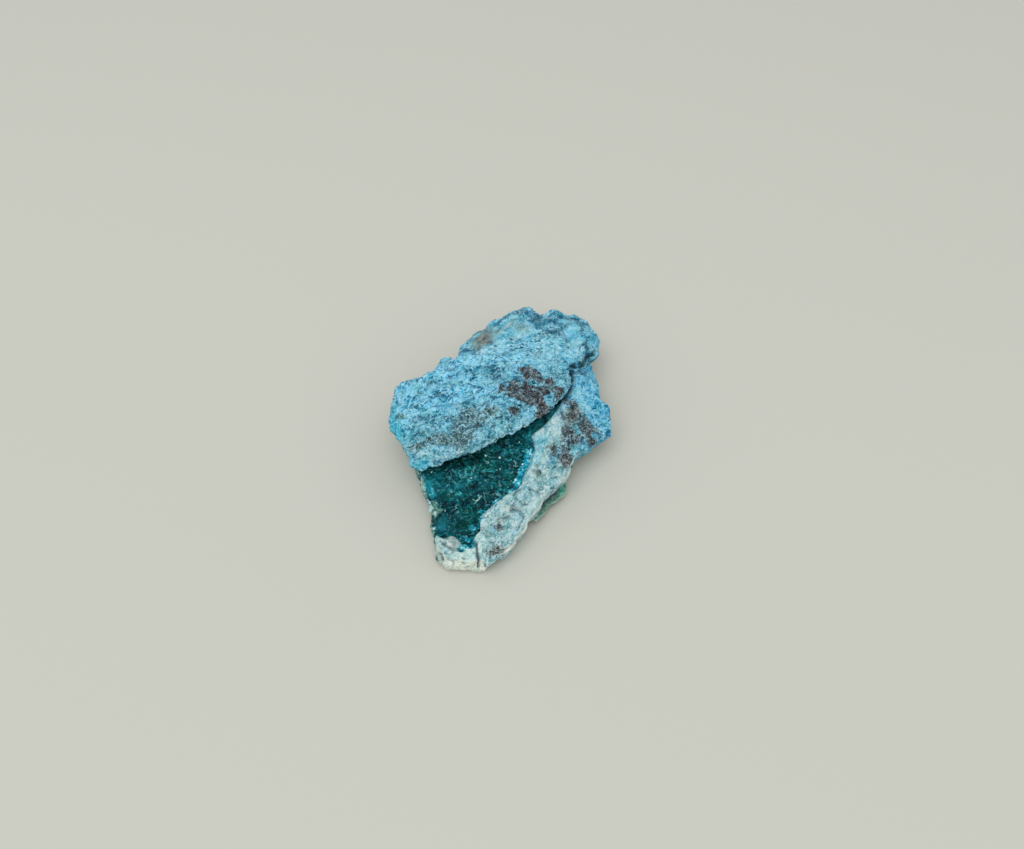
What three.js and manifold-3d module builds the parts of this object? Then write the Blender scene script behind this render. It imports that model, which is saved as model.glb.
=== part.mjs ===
// A raw chrysocolla: one stone, 37 by 53 mm and 12 mm high, as broken from its vein.
// A dark teal heart runs through it. Pale blue crusts lie over the heart as plates, and a
// break between two of them lays the heart bare as a sloping face. The stone rests on the
// flat its underside was broken to.
// Millimetres, +Z up, +Y along the stone, origin under its middle on the face it rests on.
import * as THREE from "three";
import { mergeVertices } from "three/addons/utils/BufferGeometryUtils.js";
import Module from "manifold-3d";

const wasm = await Module();
wasm.setup();

// ---- Heights of the heart and its crusts

const HEART_TOP = 6.9; // where the bare face starts, under the big plate's ledge
const FACE_FALL = 0.155; // how steeply the bare face falls towards the low end
const FACE_START = 2; // the y at which it starts to fall
const PLATE_TOP = 11.0; // the big plate's back
const PLATE_CENTRE = [-3, 1];
const PLATE_TURN = THREE.MathUtils.degToRad(27.4); // the ledge's direction in plan
const REAR_TOP = 10.1;
const BAND_STEP = 0.8; // the side crust's height over the bare face beside it
const REST_LEVEL = 0; // the flat that the stone rests on
const UNDERSIDE = -0.75; // how far the underside would bulge past that flat

// The side crust's edge on the bare face runs from here, in this direction.
const BAND_EDGE = new THREE.Vector2(-3, -21);
const BAND_RUN = new THREE.Vector2(13, 23).normalize();

const FACET_SHARPNESS = 14;

const MIDDLE = [0.19, -0.59]; // the joined forms' middle, which becomes the origin

const above = (value) => Math.max(value, 0);

/** The heart's upper face: level at the back, falling evenly towards the low end. */
function heartTop(x, y) {
  return HEART_TOP + 0.03 * x - FACE_FALL * above(FACE_START - y);
}

/** The plate's own directions: along its ledge, and across towards the rear. */
function alongPlate(x, y) {
  const dx = x - PLATE_CENTRE[0];
  const dy = y - PLATE_CENTRE[1];
  const along = dx * Math.cos(PLATE_TURN) + dy * Math.sin(PLATE_TURN);
  const across = dy * Math.cos(PLATE_TURN) - dx * Math.sin(PLATE_TURN);
  return [along, across];
}

/** The big plate's back: a long low crown, with folds that run along it. */
function plateTop(x, y) {
  const [along, across] = alongPlate(x, y);
  const crown = PLATE_TOP + 0.12 * across - 0.018 * across ** 2;
  const folds = 0.4 * noise(along / 7, across / 2.1, 0, 11);
  return crown + 0.03 * along - 0.01 * along ** 2 + folds;
}

/** The big plate's underside: clear of the face under its ledge, and sunk in the heart. */
function plateUnderside(x, y) {
  const [along, across] = alongPlate(x, y);
  const inFromLedge = across + 7.7 - 0.0132 * (along + 1.5) ** 2;
  const sunk = heartTop(x, y) - 1.2;
  const hung = Math.max(plateTop(x, y) - 1.6, sunk);
  return hung + (sunk - hung) * smooth(2.2, 3.6, inFromLedge);
}

/** The underside: a broad bulge, whose middle is the flat that the stone rests on. */
function underside(x, y) {
  const [along, across] = [y + 0.4 * x, x - 0.4 * y];
  return UNDERSIDE + 0.0022 * along ** 2 + 0.011 * across ** 2;
}

/** The rear crust: a crown with a flat facet on its left and a knob on its far edge. */
function rearTop(x, y) {
  const tuck = 0.02 * above(12 - y) ** 2;
  const crown = REAR_TOP - 0.012 * (x - 3) ** 2 - 0.006 * (y - 10) ** 2 - tuck;
  const facet = 9.6 + 0.2 * (x + 0.5) - 0.13 * (y - 16);
  const knob = 1.1 * Math.exp(-((x - 9.6) ** 2 + (y - 22.6) ** 2) / 4.5);
  const gully = 0.9 * Math.exp(-((x - 7.2) ** 2) / 0.8 - (y - 24.5) ** 2 / 9);
  return Math.min(crown, facet) + knob - gully;
}

/** How far a place lies to the right of the side crust's edge on the bare face. */
function pastBandEdge(x, y) {
  return above((x - BAND_EDGE.x) * BAND_RUN.y - (y - BAND_EDGE.y) * BAND_RUN.x);
}

/** The side crust: it keeps its step over the bare face, then rounds off to the right. */
function bandTop(x, y) {
  const out = pastBandEdge(x, y);
  const level = HEART_TOP + BAND_STEP + 0.03 * x - FACE_FALL * above(FACE_START - y);
  const roundOff = 0.012 * out ** 2 + 0.05 * out + 0.03 * above(x - 12) ** 2;
  const seam = 1.0 * Math.exp(-((y - 0.85 * x + 0.2) ** 2) / 1.6) * smooth(9, 12, x);
  return level - 0.09 * above(y - FACE_START) - roundOff - seam;
}

/** The heart where the crusts cover it: it stays under the side crust. */
function coveredHeartTop(x, y) {
  const under = BAND_STEP + 0.5 * smooth(0.5, 2.5, pastBandEdge(x, y));
  return Math.min(heartTop(x, y), bandTop(x, y) - under);
}

// ---- Relief

function smooth(low, high, value) {
  const share = Math.min(Math.max((value - low) / (high - low), 0), 1);
  return share * share * (3 - 2 * share);
}

/** A fixed number from 0 to 1 for each point of a lattice. */
function latticeValue(i, j, k, seed) {
  const value = Math.sin(i * 127.1 + j * 311.7 + k * 74.7 + seed * 53.3) * 43758.5453;
  return value - Math.floor(value);
}

/** Smooth noise from -1 to 1: lattice values blended by an S-curve along each axis. */
function noise(x, y, z, seed) {
  const [i, j, k] = [x, y, z].map(Math.floor);
  const [u, v, w] = [x - i, y - j, z - k].map((share) => smooth(0, 1, share));
  let total = 0;
  for (const [a, b, c] of CELL_CORNERS) {
    const weight = (a ? u : 1 - u) * (b ? v : 1 - v) * (c ? w : 1 - w);
    total += weight * latticeValue(i + a, j + b, k + c, seed);
  }
  return 2 * total - 1;
}

const CELL_CORNERS = [0, 1, 2, 3, 4, 5, 6, 7].map((n) => [n & 1, (n >> 1) & 1, n >> 2]);

/** Crust relief from about -1 to 1: noise of three sizes, the largest ridged. */
function crustRelief(p, seed) {
  const ridges = 1 - 2 * Math.abs(noise(p.x / 6.5, p.y / 6.5, p.z / 5, seed));
  const lumps = noise(p.x / 3.1, p.y / 3.1, p.z / 2.6, seed + 1);
  const grit = noise(p.x / 1.5, p.y / 1.5, p.z / 1.5, seed + 2);
  return 0.4 * ridges + 0.6 * lumps + 0.5 * grit;
}

/**
 * Fracture relief from about -1 to 1. Space is cut into cells about scattered centres, and
 * each cell is a plane with its own height and slope. A point takes the mean of the planes
 * near it, weighted by exp(-sharpness * distance^2), so that facets meet in narrow bevels.
 */
function fractureRelief(p, size, seed) {
  const at = [p.x / size, p.y / size, p.z / size];
  let weights = 0;
  let relief = 0;
  for (let n = 0; n < 27; n++) {
    const cell = [n % 3, Math.floor(n / 3) % 3, Math.floor(n / 9)];
    const [i, j, k] = cell.map((step, axis) => Math.floor(at[axis]) + step - 1);
    const away = [i, j, k].map(
      (corner, axis) => at[axis] - corner - latticeValue(i, j, k, seed + axis),
    );
    const slope = away.map((a, axis) => a * (latticeValue(i, j, k, seed + 4 + axis) - 0.5));
    const plane = latticeValue(i, j, k, seed + 3) - 0.5 + slope[0] + slope[1] + slope[2];
    const weight = Math.exp(-FACET_SHARPNESS * Math.hypot(...away) ** 2);
    weights += weight;
    relief += weight * plane;
  }
  return (1.6 * relief) / weights;
}

// ---- Lumps: each piece of the stone's form is one closed lump

/**
 * Where a grid point lies. The grid is stretched cells longer each way than it is wide, so
 * its rings are oblongs about a line of points. It gives the ring, how far along that line
 * the point's nearest point is, and how far round the ring the point lies.
 */
function ringPlace(i, j, rings, stretch) {
  const past = above(Math.abs(i) - stretch);
  const ring = Math.max(past, Math.abs(j));
  const along = (stretch && Math.min(Math.max(i / stretch, -1), 1) + 1) / 2;
  if (ring === 0) return { ring, along, round: i < 0 ? 0.5 : 0 };
  const length = rings + stretch;
  const x = past === 0 ? i : Math.sign(i) * (stretch + (past / ring) * rings);
  const y = (j / ring) * rings;
  let steps;
  if (past === ring && i > 0) steps = y;
  else if (j === ring) steps = rings + length - x;
  else if (past === ring) steps = 2 * rings + 2 * length - y;
  else steps = 3 * rings + 3 * length + x;
  const all = 4 * (rings + length);
  return { ring, along, round: ((steps + all) % all) / all };
}

/** The outline's ragged edge: how far the rim stands out of its curve. */
function rag(x, y, seed) {
  return 0.34 * noise(x / 2.4, y / 2.4, 0, seed + 6) + 0.22 * noise(x, y, 0, seed + 7);
}

/**
 * One lump. A grid is bent to fill the outline and laid over it twice, as an upper and a
 * lower sheet that share their rim. Its rings run out from the spine to the outline, whose
 * first point is at the spine's far end. Away from the rim the sheets follow top and bottom;
 * over the last edgeRings they turn down to the rim in a quarter ellipse. A hollow over 1
 * pulls the lower turn inwards, so that the rim overhangs. Crust and fracture are the two
 * reliefs' heights, and each moves a point straight off its sheet.
 */
function lump(form) {
  const outline = form.outline.map(([x, y]) => new THREE.Vector3(x, y, 0));
  const rimCurve = new THREE.CatmullRomCurve3(outline, true, "catmullrom", 0.5);
  rimCurve.arcLengthDivisions = 800;
  const spine = new THREE.CatmullRomCurve3(
    form.spine.map(([x, y]) => new THREE.Vector3(x, y, 0)),
  );
  const flatRings = form.rings - form.edgeRings;
  const points = [];
  const faces = [];

  function place(i, j, side) {
    const { ring, along, round } = ringPlace(i, j, form.rings, form.stretch);
    const middle = spine.getPointAt(along);
    const rim = rimCurve.getPointAt(round);
    const outward = rim.clone().sub(middle).normalize();
    const bulge = rag(rim.x, rim.y, form.seed);
    rim.addScaledVector(outward, bulge);
    const reach = rim.distanceTo(middle);
    const edge = side > 0 ? form.topEdge * (1 + 1.6 * bulge) : form.bottomEdge;
    const width = Math.min(edge, 0.8 * reach);
    const turn = (above(ring - flatRings) / form.edgeRings) * (Math.PI / 2);
    const inset = width * (1 - Math.sin(turn));
    const out = (Math.min(ring / flatRings, 1) * (reach - inset)) / reach;
    const { x, y } = middle.clone().lerp(rim, out);
    const rimHeight = form.rim(rim.x, rim.y);
    const sheet = side > 0 ? form.top(x, y) : form.bottom(x, y);
    const rise = side > 0 ? Math.cos(turn) : Math.cos(turn) ** form.hollow;
    const point = new THREE.Vector3(x, y, rimHeight + (sheet - rimHeight) * rise);
    const off = outward.multiplyScalar(Math.sin(turn)).setZ(side * Math.cos(turn));
    const crust = form.crust * crustRelief(point, form.seed);
    const [size, topDepth, flankDepth] = form.fracture;
    const depth = side > 0 ? topDepth : flankDepth;
    const fracture = depth * fractureRelief(point, size, form.seed + 10);
    return point.addScaledVector(off, crust + fracture);
  }

  const length = form.rings + form.stretch;
  const rows = 2 * form.rings + 1;
  const onRim = (i, j) => Math.abs(i) === length || Math.abs(j) === form.rings;
  const upper = new Map();
  for (const side of [1, -1]) {
    const index = side > 0 ? upper : new Map();
    for (let i = -length; i <= length; i++) {
      for (let j = -form.rings; j <= form.rings; j++) {
        const key = i * rows + j;
        if (side < 0 && onRim(i, j)) {
          index.set(key, upper.get(key));
          continue;
        }
        index.set(key, points.length);
        points.push(place(i, j, side));
      }
    }
    for (let i = -length; i < length; i++) {
      for (let j = -form.rings; j < form.rings; j++) {
        const at = (a, b) => index.get((i + a) * rows + j + b);
        const quad = [at(0, 0), at(1, 0), at(1, 1), at(0, 1)];
        // The diagonal runs out from the spine, so that it never cuts off a corner.
        if (i < 0 === j < 0) quad.push(quad.shift());
        quad.push(quad.shift());
        if (side < 0) quad.reverse();
        const [p, q, r, t] = quad;
        faces.push(p, q, r, p, r, t);
      }
    }
  }
  const geometry = new THREE.BufferGeometry().setFromPoints(points);
  geometry.setIndex(faces);
  return geometry;
}

/** A crumb of the crust: a little ball, knocked out of round. */
function crumb(x, y, z, size, seed) {
  const shape = new THREE.IcosahedronGeometry(size, 1);
  const place = shape.getAttribute("position");
  const p = new THREE.Vector3();
  for (let n = 0; n < place.count; n++) {
    p.fromBufferAttribute(place, n);
    const swell = 1 + 0.45 * noise(p.x / size, p.y / size, p.z / size, seed);
    place.setXYZ(n, x + p.x * swell, y + p.y * swell, z + 0.6 * p.z * swell);
  }
  return shape;
}

// ---- The stone's forms

/** The dark teal heart, which the crusts lie on and the stone rests on. */
const heart = {
  spine: [[-5.5, -19], [-1, -6], [3, 6], [6.5, 17]],
  outline: [
    [8.6, 23.8], [4.6, 24.2], [-0.2, 21.8], [-3.8, 18.2], [-6.2, 14.0], [-8.6, 10.8],
    [-12.0, 7.8], [-16.4, 5.0], [-17.2, 1.0], [-16.4, -2.4], [-14.6, -5.8], [-13.2, -9.4],
    [-12.5, -11.2], [-12.2, -13.0], [-11.2, -14.5], [-10.9, -15.9], [-10.3, -16.8],
    [-9.8, -18.1], [-9.4, -19.6], [-9.0, -22.2], [-8.2, -24.6], [-4.5, -25.2],
    [-1.4, -24.2], [1.2, -21.6], [4.4, -17.2], [8.0, -12.4], [10.6, -8.6], [12.4, -6.0],
    [15.4, -3.6], [17.4, -0.6], [17.8, 2.6], [16.2, 6.4], [14.8, 11.2], [14.3, 15.6],
    [15.4, 20.4], [13.0, 23.6],
  ],
  rings: 9,
  stretch: 11,
  edgeRings: 4,
  topEdge: 1.0,
  bottomEdge: 5.5,
  hollow: 0.9,
  rim: (x, y) => Math.max(coveredHeartTop(x, y) - 1.6, 1.3),
  top: coveredHeartTop,
  bottom: underside,
  crust: 0.3,
  fracture: [6.5, 0.25, 1.3],
  seed: 3,
};

/** The big plate, whose lower edge overhangs the bare face as a ledge. */
const plate = {
  spine: [[-10.5, -1.5], [-3, 2], [5, 5.5]],
  outline: [
    [12.0, 7.9], [11.7, 9.8], [10.4, 11.1], [8.3, 12.4], [6.2, 13.6], [3.9, 14.1],
    [1.6, 12.7], [-0.1, 10.9], [-3.2, 10.4], [-6.0, 10.2], [-8.2, 10.1], [-9.9, 9.9],
    [-11.2, 7.8], [-13.1, 6.1], [-15.6, 5.4], [-16.9, 5.2], [-17.6, 3.6], [-17.7, 2.0],
    [-18.1, -0.9], [-18.1, -2.3], [-16.8, -4.5], [-15.8, -6.1], [-15.9, -7.2],
    [-14.8, -8.7], [-13.2, -10.8], [-11.1, -10.6], [-8.9, -9.7], [-6.7, -9.1], [-4.7, -8.4],
    [-2.8, -7.4], [-0.9, -6.6], [1.0, -5.5], [3.0, -4.3], [5.0, -2.9], [7.0, -1.3],
    [8.8, 0.4], [10.1, 1.8], [11.0, 3.8], [11.8, 6.0],
  ],
  rings: 8,
  stretch: 8,
  edgeRings: 3,
  topEdge: 0.6,
  bottomEdge: 2.6,
  hollow: 2.5,
  rim: (x, y) => plateTop(x, y) - 0.5,
  top: plateTop,
  bottom: plateUnderside,
  crust: 0.3,
  fracture: [5, 0.3, 0.6],
  seed: 21,
};

/** The rear crust. Its near edge runs in under the big plate. */
const rear = {
  spine: [[-0.5, 13.8], [5, 15.5], [11.5, 18]],
  outline: [
    [18.0, 19.2], [17.4, 20.9], [16.3, 23.0], [15.2, 24.2], [13.8, 24.6], [12.3, 23.9],
    [10.6, 23.9], [9.1, 23.8], [7.8, 23.4], [7.0, 24.2], [6.0, 24.8], [4.4, 24.5],
    [1.6, 23.5], [-0.2, 22.7], [-1.9, 22.0], [-3.0, 20.4], [-4.5, 19.0], [-5.5, 17.4],
    [-6.8, 15.7], [-7.3, 13.7], [-6.0, 10.3], [-1.8, 7.7], [5.1, 7.1], [9.4, 8.6],
    [11.4, 9.7], [13.1, 11.0], [14.2, 12.2], [15.0, 13.4], [16.1, 14.8], [17.5, 17.0],
  ],
  rings: 7,
  stretch: 5,
  edgeRings: 3,
  topEdge: 0.9,
  bottomEdge: 2.4,
  hollow: 1.6,
  rim: (x, y) => rearTop(x, y) - 1.5,
  top: rearTop,
  bottom: () => HEART_TOP - 2.6,
  crust: 0.36,
  fracture: [5, 0.5, 0.9],
  seed: 37,
};

/** The side crust: a lobe at the right of the big plate, and a tongue to the low end. */
const band = {
  spine: [[-0.9, -22.5], [1.4, -18.2], [5.6, -12.4], [9.6, -6.6], [12.6, -1], [13.7, 4.5], [13.6, 10]],
  outline: [
    [14.8, 14.5], [12.6, 13.2], [10.6, 10.4], [10.2, 6.9], [10.2, 3.9], [9.9, 1.6],
    [9.2, 0.1], [8.1, -1.5], [7.2, -2.9], [5.9, -4.0], [5.6, -5.4], [5.6, -6.9],
    [5.2, -8.5], [4.5, -10.1], [3.8, -11.7], [3.1, -13.0], [1.7, -14.2], [0.3, -15.2],
    [-1.1, -16.4], [-2.3, -17.7], [-3.0, -19.1], [-3.1, -20.6], [-2.9, -22.6],
    [-2.6, -24.5], [-2.2, -26.4], [-1.3, -26.1], [0.6, -24.3], [2.3, -22.0], [3.4, -20.8],
    [4.7, -18.4], [6.4, -16.0], [7.7, -14.4], [9.2, -12.8], [10.3, -11.5], [11.1, -10.3],
    [11.6, -8.8], [12.2, -7.5], [13.5, -6.2], [14.9, -5.3], [16.4, -3.9], [17.7, -2.7],
    [18.6, -0.9], [18.8, 1.2], [18.5, 2.7], [17.3, 3.3], [16.8, 4.8], [16.9, 8.4],
    [16.4, 10.7], [15.9, 12.9],
  ],
  rings: 5,
  stretch: 17,
  edgeRings: 3,
  topEdge: 0.5,
  bottomEdge: 1.8,
  hollow: 1.6,
  rim: (x, y) => bandTop(x, y) - 0.4,
  top: bandTop,
  bottom: (x, y) => Math.max(heartTop(x, y) - 2.8, 0.8),
  crust: 0.22,
  fracture: [5, 0.3, 0.7],
  seed: 52,
};

/** The pale block of the low end, left of the tongue. */
const block = {
  spine: [[-7.8, -23.7], [-4, -24]],
  outline: [
    [-1.4, -24.1], [-1.7, -22.0], [-2.7, -20.8], [-3.6, -21.5], [-4.8, -22.5],
    [-5.9, -22.0], [-5.8, -21.0], [-7.1, -20.8], [-8.6, -20.8], [-10.0, -20.7],
    [-9.7, -22.0], [-9.4, -23.3], [-9.0, -24.3], [-8.3, -25.2], [-7.3, -25.8],
    [-5.8, -26.0], [-3.9, -26.0], [-2.6, -26.1], [-1.8, -25.9],
  ],
  rings: 4,
  stretch: 2,
  edgeRings: 2,
  topEdge: 0.6,
  bottomEdge: 1.0,
  hollow: 1,
  rim: () => 1.8,
  top: (x, y) => 3.7 + 0.12 * (y + 23),
  bottom: () => 0.2,
  crust: 0.22,
  fracture: [3, 0.3, 0.5],
  seed: 75,
};

/** The green sliver, a splinter of the vein that stands out low under the tongue. */
const sliver = {
  spine: [[6.6, -15.4], [9.6, -11]],
  outline: [
    [10.2, -9.3], [7.4, -11.6], [5.7, -14.4], [5.3, -16.2], [5.9, -17.1], [6.6, -16.2],
    [7.9, -14.5], [9.2, -13.3], [10.5, -11.7], [10.8, -10.2],
  ],
  rings: 3,
  stretch: 4,
  edgeRings: 2,
  topEdge: 0.3,
  bottomEdge: 0.5,
  hollow: 1,
  rim: () => 1.5,
  top: () => 2.1,
  bottom: () => 0.8,
  crust: 0.08,
  fracture: [3, 0.1, 0.1],
  seed: 81,
};

// Crumbs of crust left along the bare face's left edge, and one at the plate's back corner:
// x, y, z and size.
const CRUMBS = [
  [-11.7, -12.5, 3.8, 1.0], [-10.7, -14.8, 3.3, 1.2], [-9.6, -17.2, 3.0, 1.1],
  [-10.4, 10.4, 8.8, 1.1],
];

// ---- The stone, joined and cut

/** A closed geometry as a solid. */
function solid(geometry) {
  geometry.deleteAttribute("normal");
  geometry.deleteAttribute("uv");
  const merged = mergeVertices(geometry, 1e-3);
  return new wasm.Manifold(
    new wasm.Mesh({
      numProp: 3,
      vertProperties: merged.getAttribute("position").array,
      triVerts: new Uint32Array(merged.index.array),
    }),
  );
}

/** A solid without the pockets that its lumps shut in between them. */
function outerSkin(joined) {
  const skins = joined.decompose();
  return skins.reduce((best, skin) => (skin.volume() > best.volume() ? skin : best));
}

/** A solid's faces as a geometry. */
function geometryOf(joined) {
  const mesh = joined.getMesh();
  const positions = new Float32Array(mesh.numVert * 3);
  for (let n = 0; n < mesh.numVert; n++) {
    const start = n * mesh.numProp;
    positions.set(mesh.vertProperties.subarray(start, start + 3), n * 3);
  }
  const geometry = new THREE.BufferGeometry();
  geometry.setAttribute("position", new THREE.BufferAttribute(positions, 3));
  geometry.setIndex(new THREE.BufferAttribute(mesh.triVerts, 1));
  geometry.computeVertexNormals();
  return geometry;
}

const FLOOR_DEPTH = 10;
const under = new THREE.BoxGeometry(100, 100, FLOOR_DEPTH);
under.translate(0, 0, REST_LEVEL - FLOOR_DEPTH / 2);

const forms = [heart, plate, rear, band, block, sliver].map(lump);
const crumbs = CRUMBS.map((place, n) => crumb(...place, 90 + n));
const joined = [...forms, ...crumbs].map(solid).reduce((all, next) => all.add(next));
const cut = outerSkin(joined.subtract(solid(under)).simplify(0.03));
const stone = new THREE.Mesh(
  geometryOf(outerSkin(solid(geometryOf(cut)))).translate(-MIDDLE[0], -MIDDLE[1], 0),
  new THREE.MeshStandardMaterial({ color: 0x78b0c4, roughness: 0.85, metalness: 0 }),
);
stone.name = "chrysocolla_stone";

const part = new THREE.Group();
part.add(stone);
export default part;
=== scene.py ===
"""A raw chrysocolla: pale blue crusts over a dark teal heart. All sizes are in millimetres."""

import math

import bpy
import numpy as np
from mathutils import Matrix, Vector


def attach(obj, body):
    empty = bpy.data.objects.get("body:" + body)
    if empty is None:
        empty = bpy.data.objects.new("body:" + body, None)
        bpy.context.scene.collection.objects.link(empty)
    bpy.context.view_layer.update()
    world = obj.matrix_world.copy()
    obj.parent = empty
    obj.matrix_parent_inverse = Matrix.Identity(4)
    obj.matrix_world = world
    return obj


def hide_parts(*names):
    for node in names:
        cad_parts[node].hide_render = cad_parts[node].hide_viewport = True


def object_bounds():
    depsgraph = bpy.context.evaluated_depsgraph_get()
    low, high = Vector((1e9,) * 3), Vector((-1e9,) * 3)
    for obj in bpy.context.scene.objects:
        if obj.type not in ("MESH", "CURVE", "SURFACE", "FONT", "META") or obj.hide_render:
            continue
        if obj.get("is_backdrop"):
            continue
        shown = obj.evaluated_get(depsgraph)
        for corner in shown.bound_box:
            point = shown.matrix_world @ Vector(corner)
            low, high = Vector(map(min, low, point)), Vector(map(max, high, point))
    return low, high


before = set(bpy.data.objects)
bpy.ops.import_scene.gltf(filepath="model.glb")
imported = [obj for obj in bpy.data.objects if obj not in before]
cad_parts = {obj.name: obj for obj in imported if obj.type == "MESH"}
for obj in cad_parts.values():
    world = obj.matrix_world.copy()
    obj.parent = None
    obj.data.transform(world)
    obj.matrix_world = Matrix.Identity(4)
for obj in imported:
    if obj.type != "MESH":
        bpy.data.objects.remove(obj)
cad_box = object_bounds()

MM = 0.001  # a millimetre in metres
NODE = "chrysocolla_stone"
MIDDLE = np.array([0.19, -0.59, 0.0])  # the forms' middle, which is the origin

# ---- The camera: it looks down at the stone from a hand's distance

SIGHT_POINT = np.array([2.0, 3.9, 0.0]) - MIDDLE  # on the floor, mid-frame
CAMERA_RISE = math.radians(50)
CAMERA_DISTANCE = 150.0
SENSOR_WIDTH = 36.0
FOCAL_SHARE = 850 / 1024  # the lens's focal length over the sensor's width
NEAREST, FARTHEST = 10.0, 5000.0  # what the camera sees lies between these distances


def make_camera():
    """A camera on the line that rises from the sight point, towards -Y."""
    data = bpy.data.cameras.new("camera")
    data.lens = FOCAL_SHARE * SENSOR_WIDTH
    data.sensor_width = SENSOR_WIDTH
    data.clip_start, data.clip_end = NEAREST * MM, FARTHEST * MM
    camera = bpy.data.objects.new("camera", data)
    back = Vector((0, -math.cos(CAMERA_RISE), math.sin(CAMERA_RISE)))
    camera.location = (Vector(SIGHT_POINT) + CAMERA_DISTANCE * back) * MM
    camera.rotation_euler = (-back).to_track_quat("-Z", "Y").to_euler()
    bpy.context.scene.collection.objects.link(camera)
    bpy.context.scene.camera = camera


make_camera()

# ---- Noise


def smooth(low, high, value):
    """An S-curve from 0 at low to 1 at high: 3 t^2 - 2 t^3."""
    share = np.clip((value - low) / (high - low), 0, 1)
    return share * share * (3 - 2 * share)


def above(value):
    """The value, or 0 where it is negative."""
    return np.maximum(value, 0)


def lattice_value(i, j, k, seed):
    """A fixed number from 0 to 1 for each point of a lattice: the fraction of a large sine."""
    value = np.sin(i * 127.1 + j * 311.7 + k * 74.7 + seed * 53.3) * 43758.5453
    return value - np.floor(value)


def noise(x, y, z, seed):
    """Smooth noise from -1 to 1: lattice values blended by an S-curve along each axis."""
    i, j, k = np.floor(x), np.floor(y), np.floor(z)
    u, v, w = smooth(0, 1, x - i), smooth(0, 1, y - j), smooth(0, 1, z - k)
    total = 0
    for a in (0, 1):
        for b in (0, 1):
            for c in (0, 1):
                weight = (u if a else 1 - u) * (v if b else 1 - v) * (w if c else 1 - w)
                total = total + weight * lattice_value(i + a, j + b, k + c, seed)
    return 2 * total - 1


def noise_at(p, size, seed):
    """Noise at points. Its size is one number, or one for each axis."""
    x, y, z = np.moveaxis(p / size, -1, 0)
    return noise(x, y, z, seed)


def rough(p, size, seed, layers=3, ridges=False):
    """
    Layered noise, or ridges, which are 1 - 2 |noise|: each layer is half as wide and 0.6
    times as high as the last.
    """
    total, height = 0, 1.0
    for n in range(layers):
        field = noise_at(p, size / 2**n, seed + 17 * n)
        total = total + height * (1 - 2 * np.abs(field) if ridges else field)
        height *= 0.6
    return total


def cells(p, size, seed, sharpness):
    """
    Facet relief from about -1 to 1. Space is cut into cells about scattered centres, and each
    cell is a plane with its own height and slope. A point takes the mean of the planes near
    it, weighted by exp(-sharpness * distance^2), so facets meet in narrow bevels.
    """
    at = p / size
    low = np.floor(at)
    weights, relief = 0, 0
    for n in range(27):
        corner = low + np.array([n % 3, n // 3 % 3, n // 9]) - 1
        i, j, k = np.moveaxis(corner, -1, 0)
        away = [
            at[..., axis] - corner[..., axis] - lattice_value(i, j, k, seed + axis)
            for axis in range(3)
        ]
        slopes = [
            away[axis] * (lattice_value(i, j, k, seed + 4 + axis) - 0.5) for axis in range(3)
        ]
        plane = lattice_value(i, j, k, seed + 3) - 0.5 + sum(slopes)
        weight = np.exp(-sharpness * sum(a * a for a in away))
        weights = weights + weight
        relief = relief + weight * plane
    return 1.6 * relief / weights


# ---- Heights of the heart and its crusts

HEART_TOP = 6.9
FACE_FALL = 0.155
FACE_START = 2.0
PLATE_TOP = 11.0
PLATE_CENTRE = (-3.0, 1.0)
PLATE_TURN = math.radians(27.4)
REAR_TOP = 10.1
KNOB = (9.6, 22.6)
GULLY = (7.2, 24.5)
BAND_STEP = 0.8
UNDERSIDE = -0.75
BAND_EDGE = (-3.0, -21.0)
BAND_RUN = np.array([13.0, 23.0]) / math.hypot(13, 23)


def heart_top(x, y):
    """The bare face's plane: level at the back, then falling evenly to the low end."""
    return HEART_TOP + 0.03 * x - FACE_FALL * above(FACE_START - y)


def along_plate(x, y):
    """The plate's own directions: along its ledge, and across towards the rear."""
    dx, dy = x - PLATE_CENTRE[0], y - PLATE_CENTRE[1]
    along = dx * math.cos(PLATE_TURN) + dy * math.sin(PLATE_TURN)
    across = dy * math.cos(PLATE_TURN) - dx * math.sin(PLATE_TURN)
    return along, across


def plate_top(x, y):
    """A long low crown, parabolic both ways, with folds that run along it."""
    along, across = along_plate(x, y)
    crown = PLATE_TOP + 0.12 * across - 0.018 * across**2
    folds = 0.4 * noise(along / 7, across / 2.1, 0 * x, 11)
    return crown + 0.03 * along - 0.01 * along**2 + folds


def rear_top(x, y):
    """
    A parabolic crown, tucked down by a parabola at its near edge and cut by a plane on its
    left, with a knob and a gully at its rear.
    """
    tuck = 0.02 * above(12 - y) ** 2
    crown = REAR_TOP - 0.012 * (x - 3) ** 2 - 0.006 * (y - 10) ** 2 - tuck
    facet = 9.6 + 0.2 * (x + 0.5) - 0.13 * (y - 16)
    knob = 1.1 * np.exp(-((x - KNOB[0]) ** 2 + (y - KNOB[1]) ** 2) / 4.5)
    gully = 0.9 * np.exp(-((x - GULLY[0]) ** 2) / 0.8 - (y - GULLY[1]) ** 2 / 9)
    return np.minimum(crown, facet) + knob - gully


def past_band_edge(x, y):
    """How far a place lies to the right of the side crust's edge on the bare face."""
    return above((x - BAND_EDGE[0]) * BAND_RUN[1] - (y - BAND_EDGE[1]) * BAND_RUN[0])


def band_top(x, y):
    """One step over the bare face, then a parabola down to the right, with a seam in it."""
    out = past_band_edge(x, y)
    level = HEART_TOP + BAND_STEP + 0.03 * x - FACE_FALL * above(FACE_START - y)
    round_off = 0.012 * out**2 + 0.05 * out + 0.03 * above(x - 12) ** 2
    seam = 1.0 * np.exp(-((y - 0.85 * x + 0.2) ** 2) / 1.6) * smooth(9, 12, x)
    return level - 0.09 * above(y - FACE_START) - round_off - seam


def covered_heart_top(x, y):
    """The bare face's plane, kept under the side crust."""
    under = BAND_STEP + 0.5 * smooth(0.5, 2.5, past_band_edge(x, y))
    return np.minimum(heart_top(x, y), band_top(x, y) - under)


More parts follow.
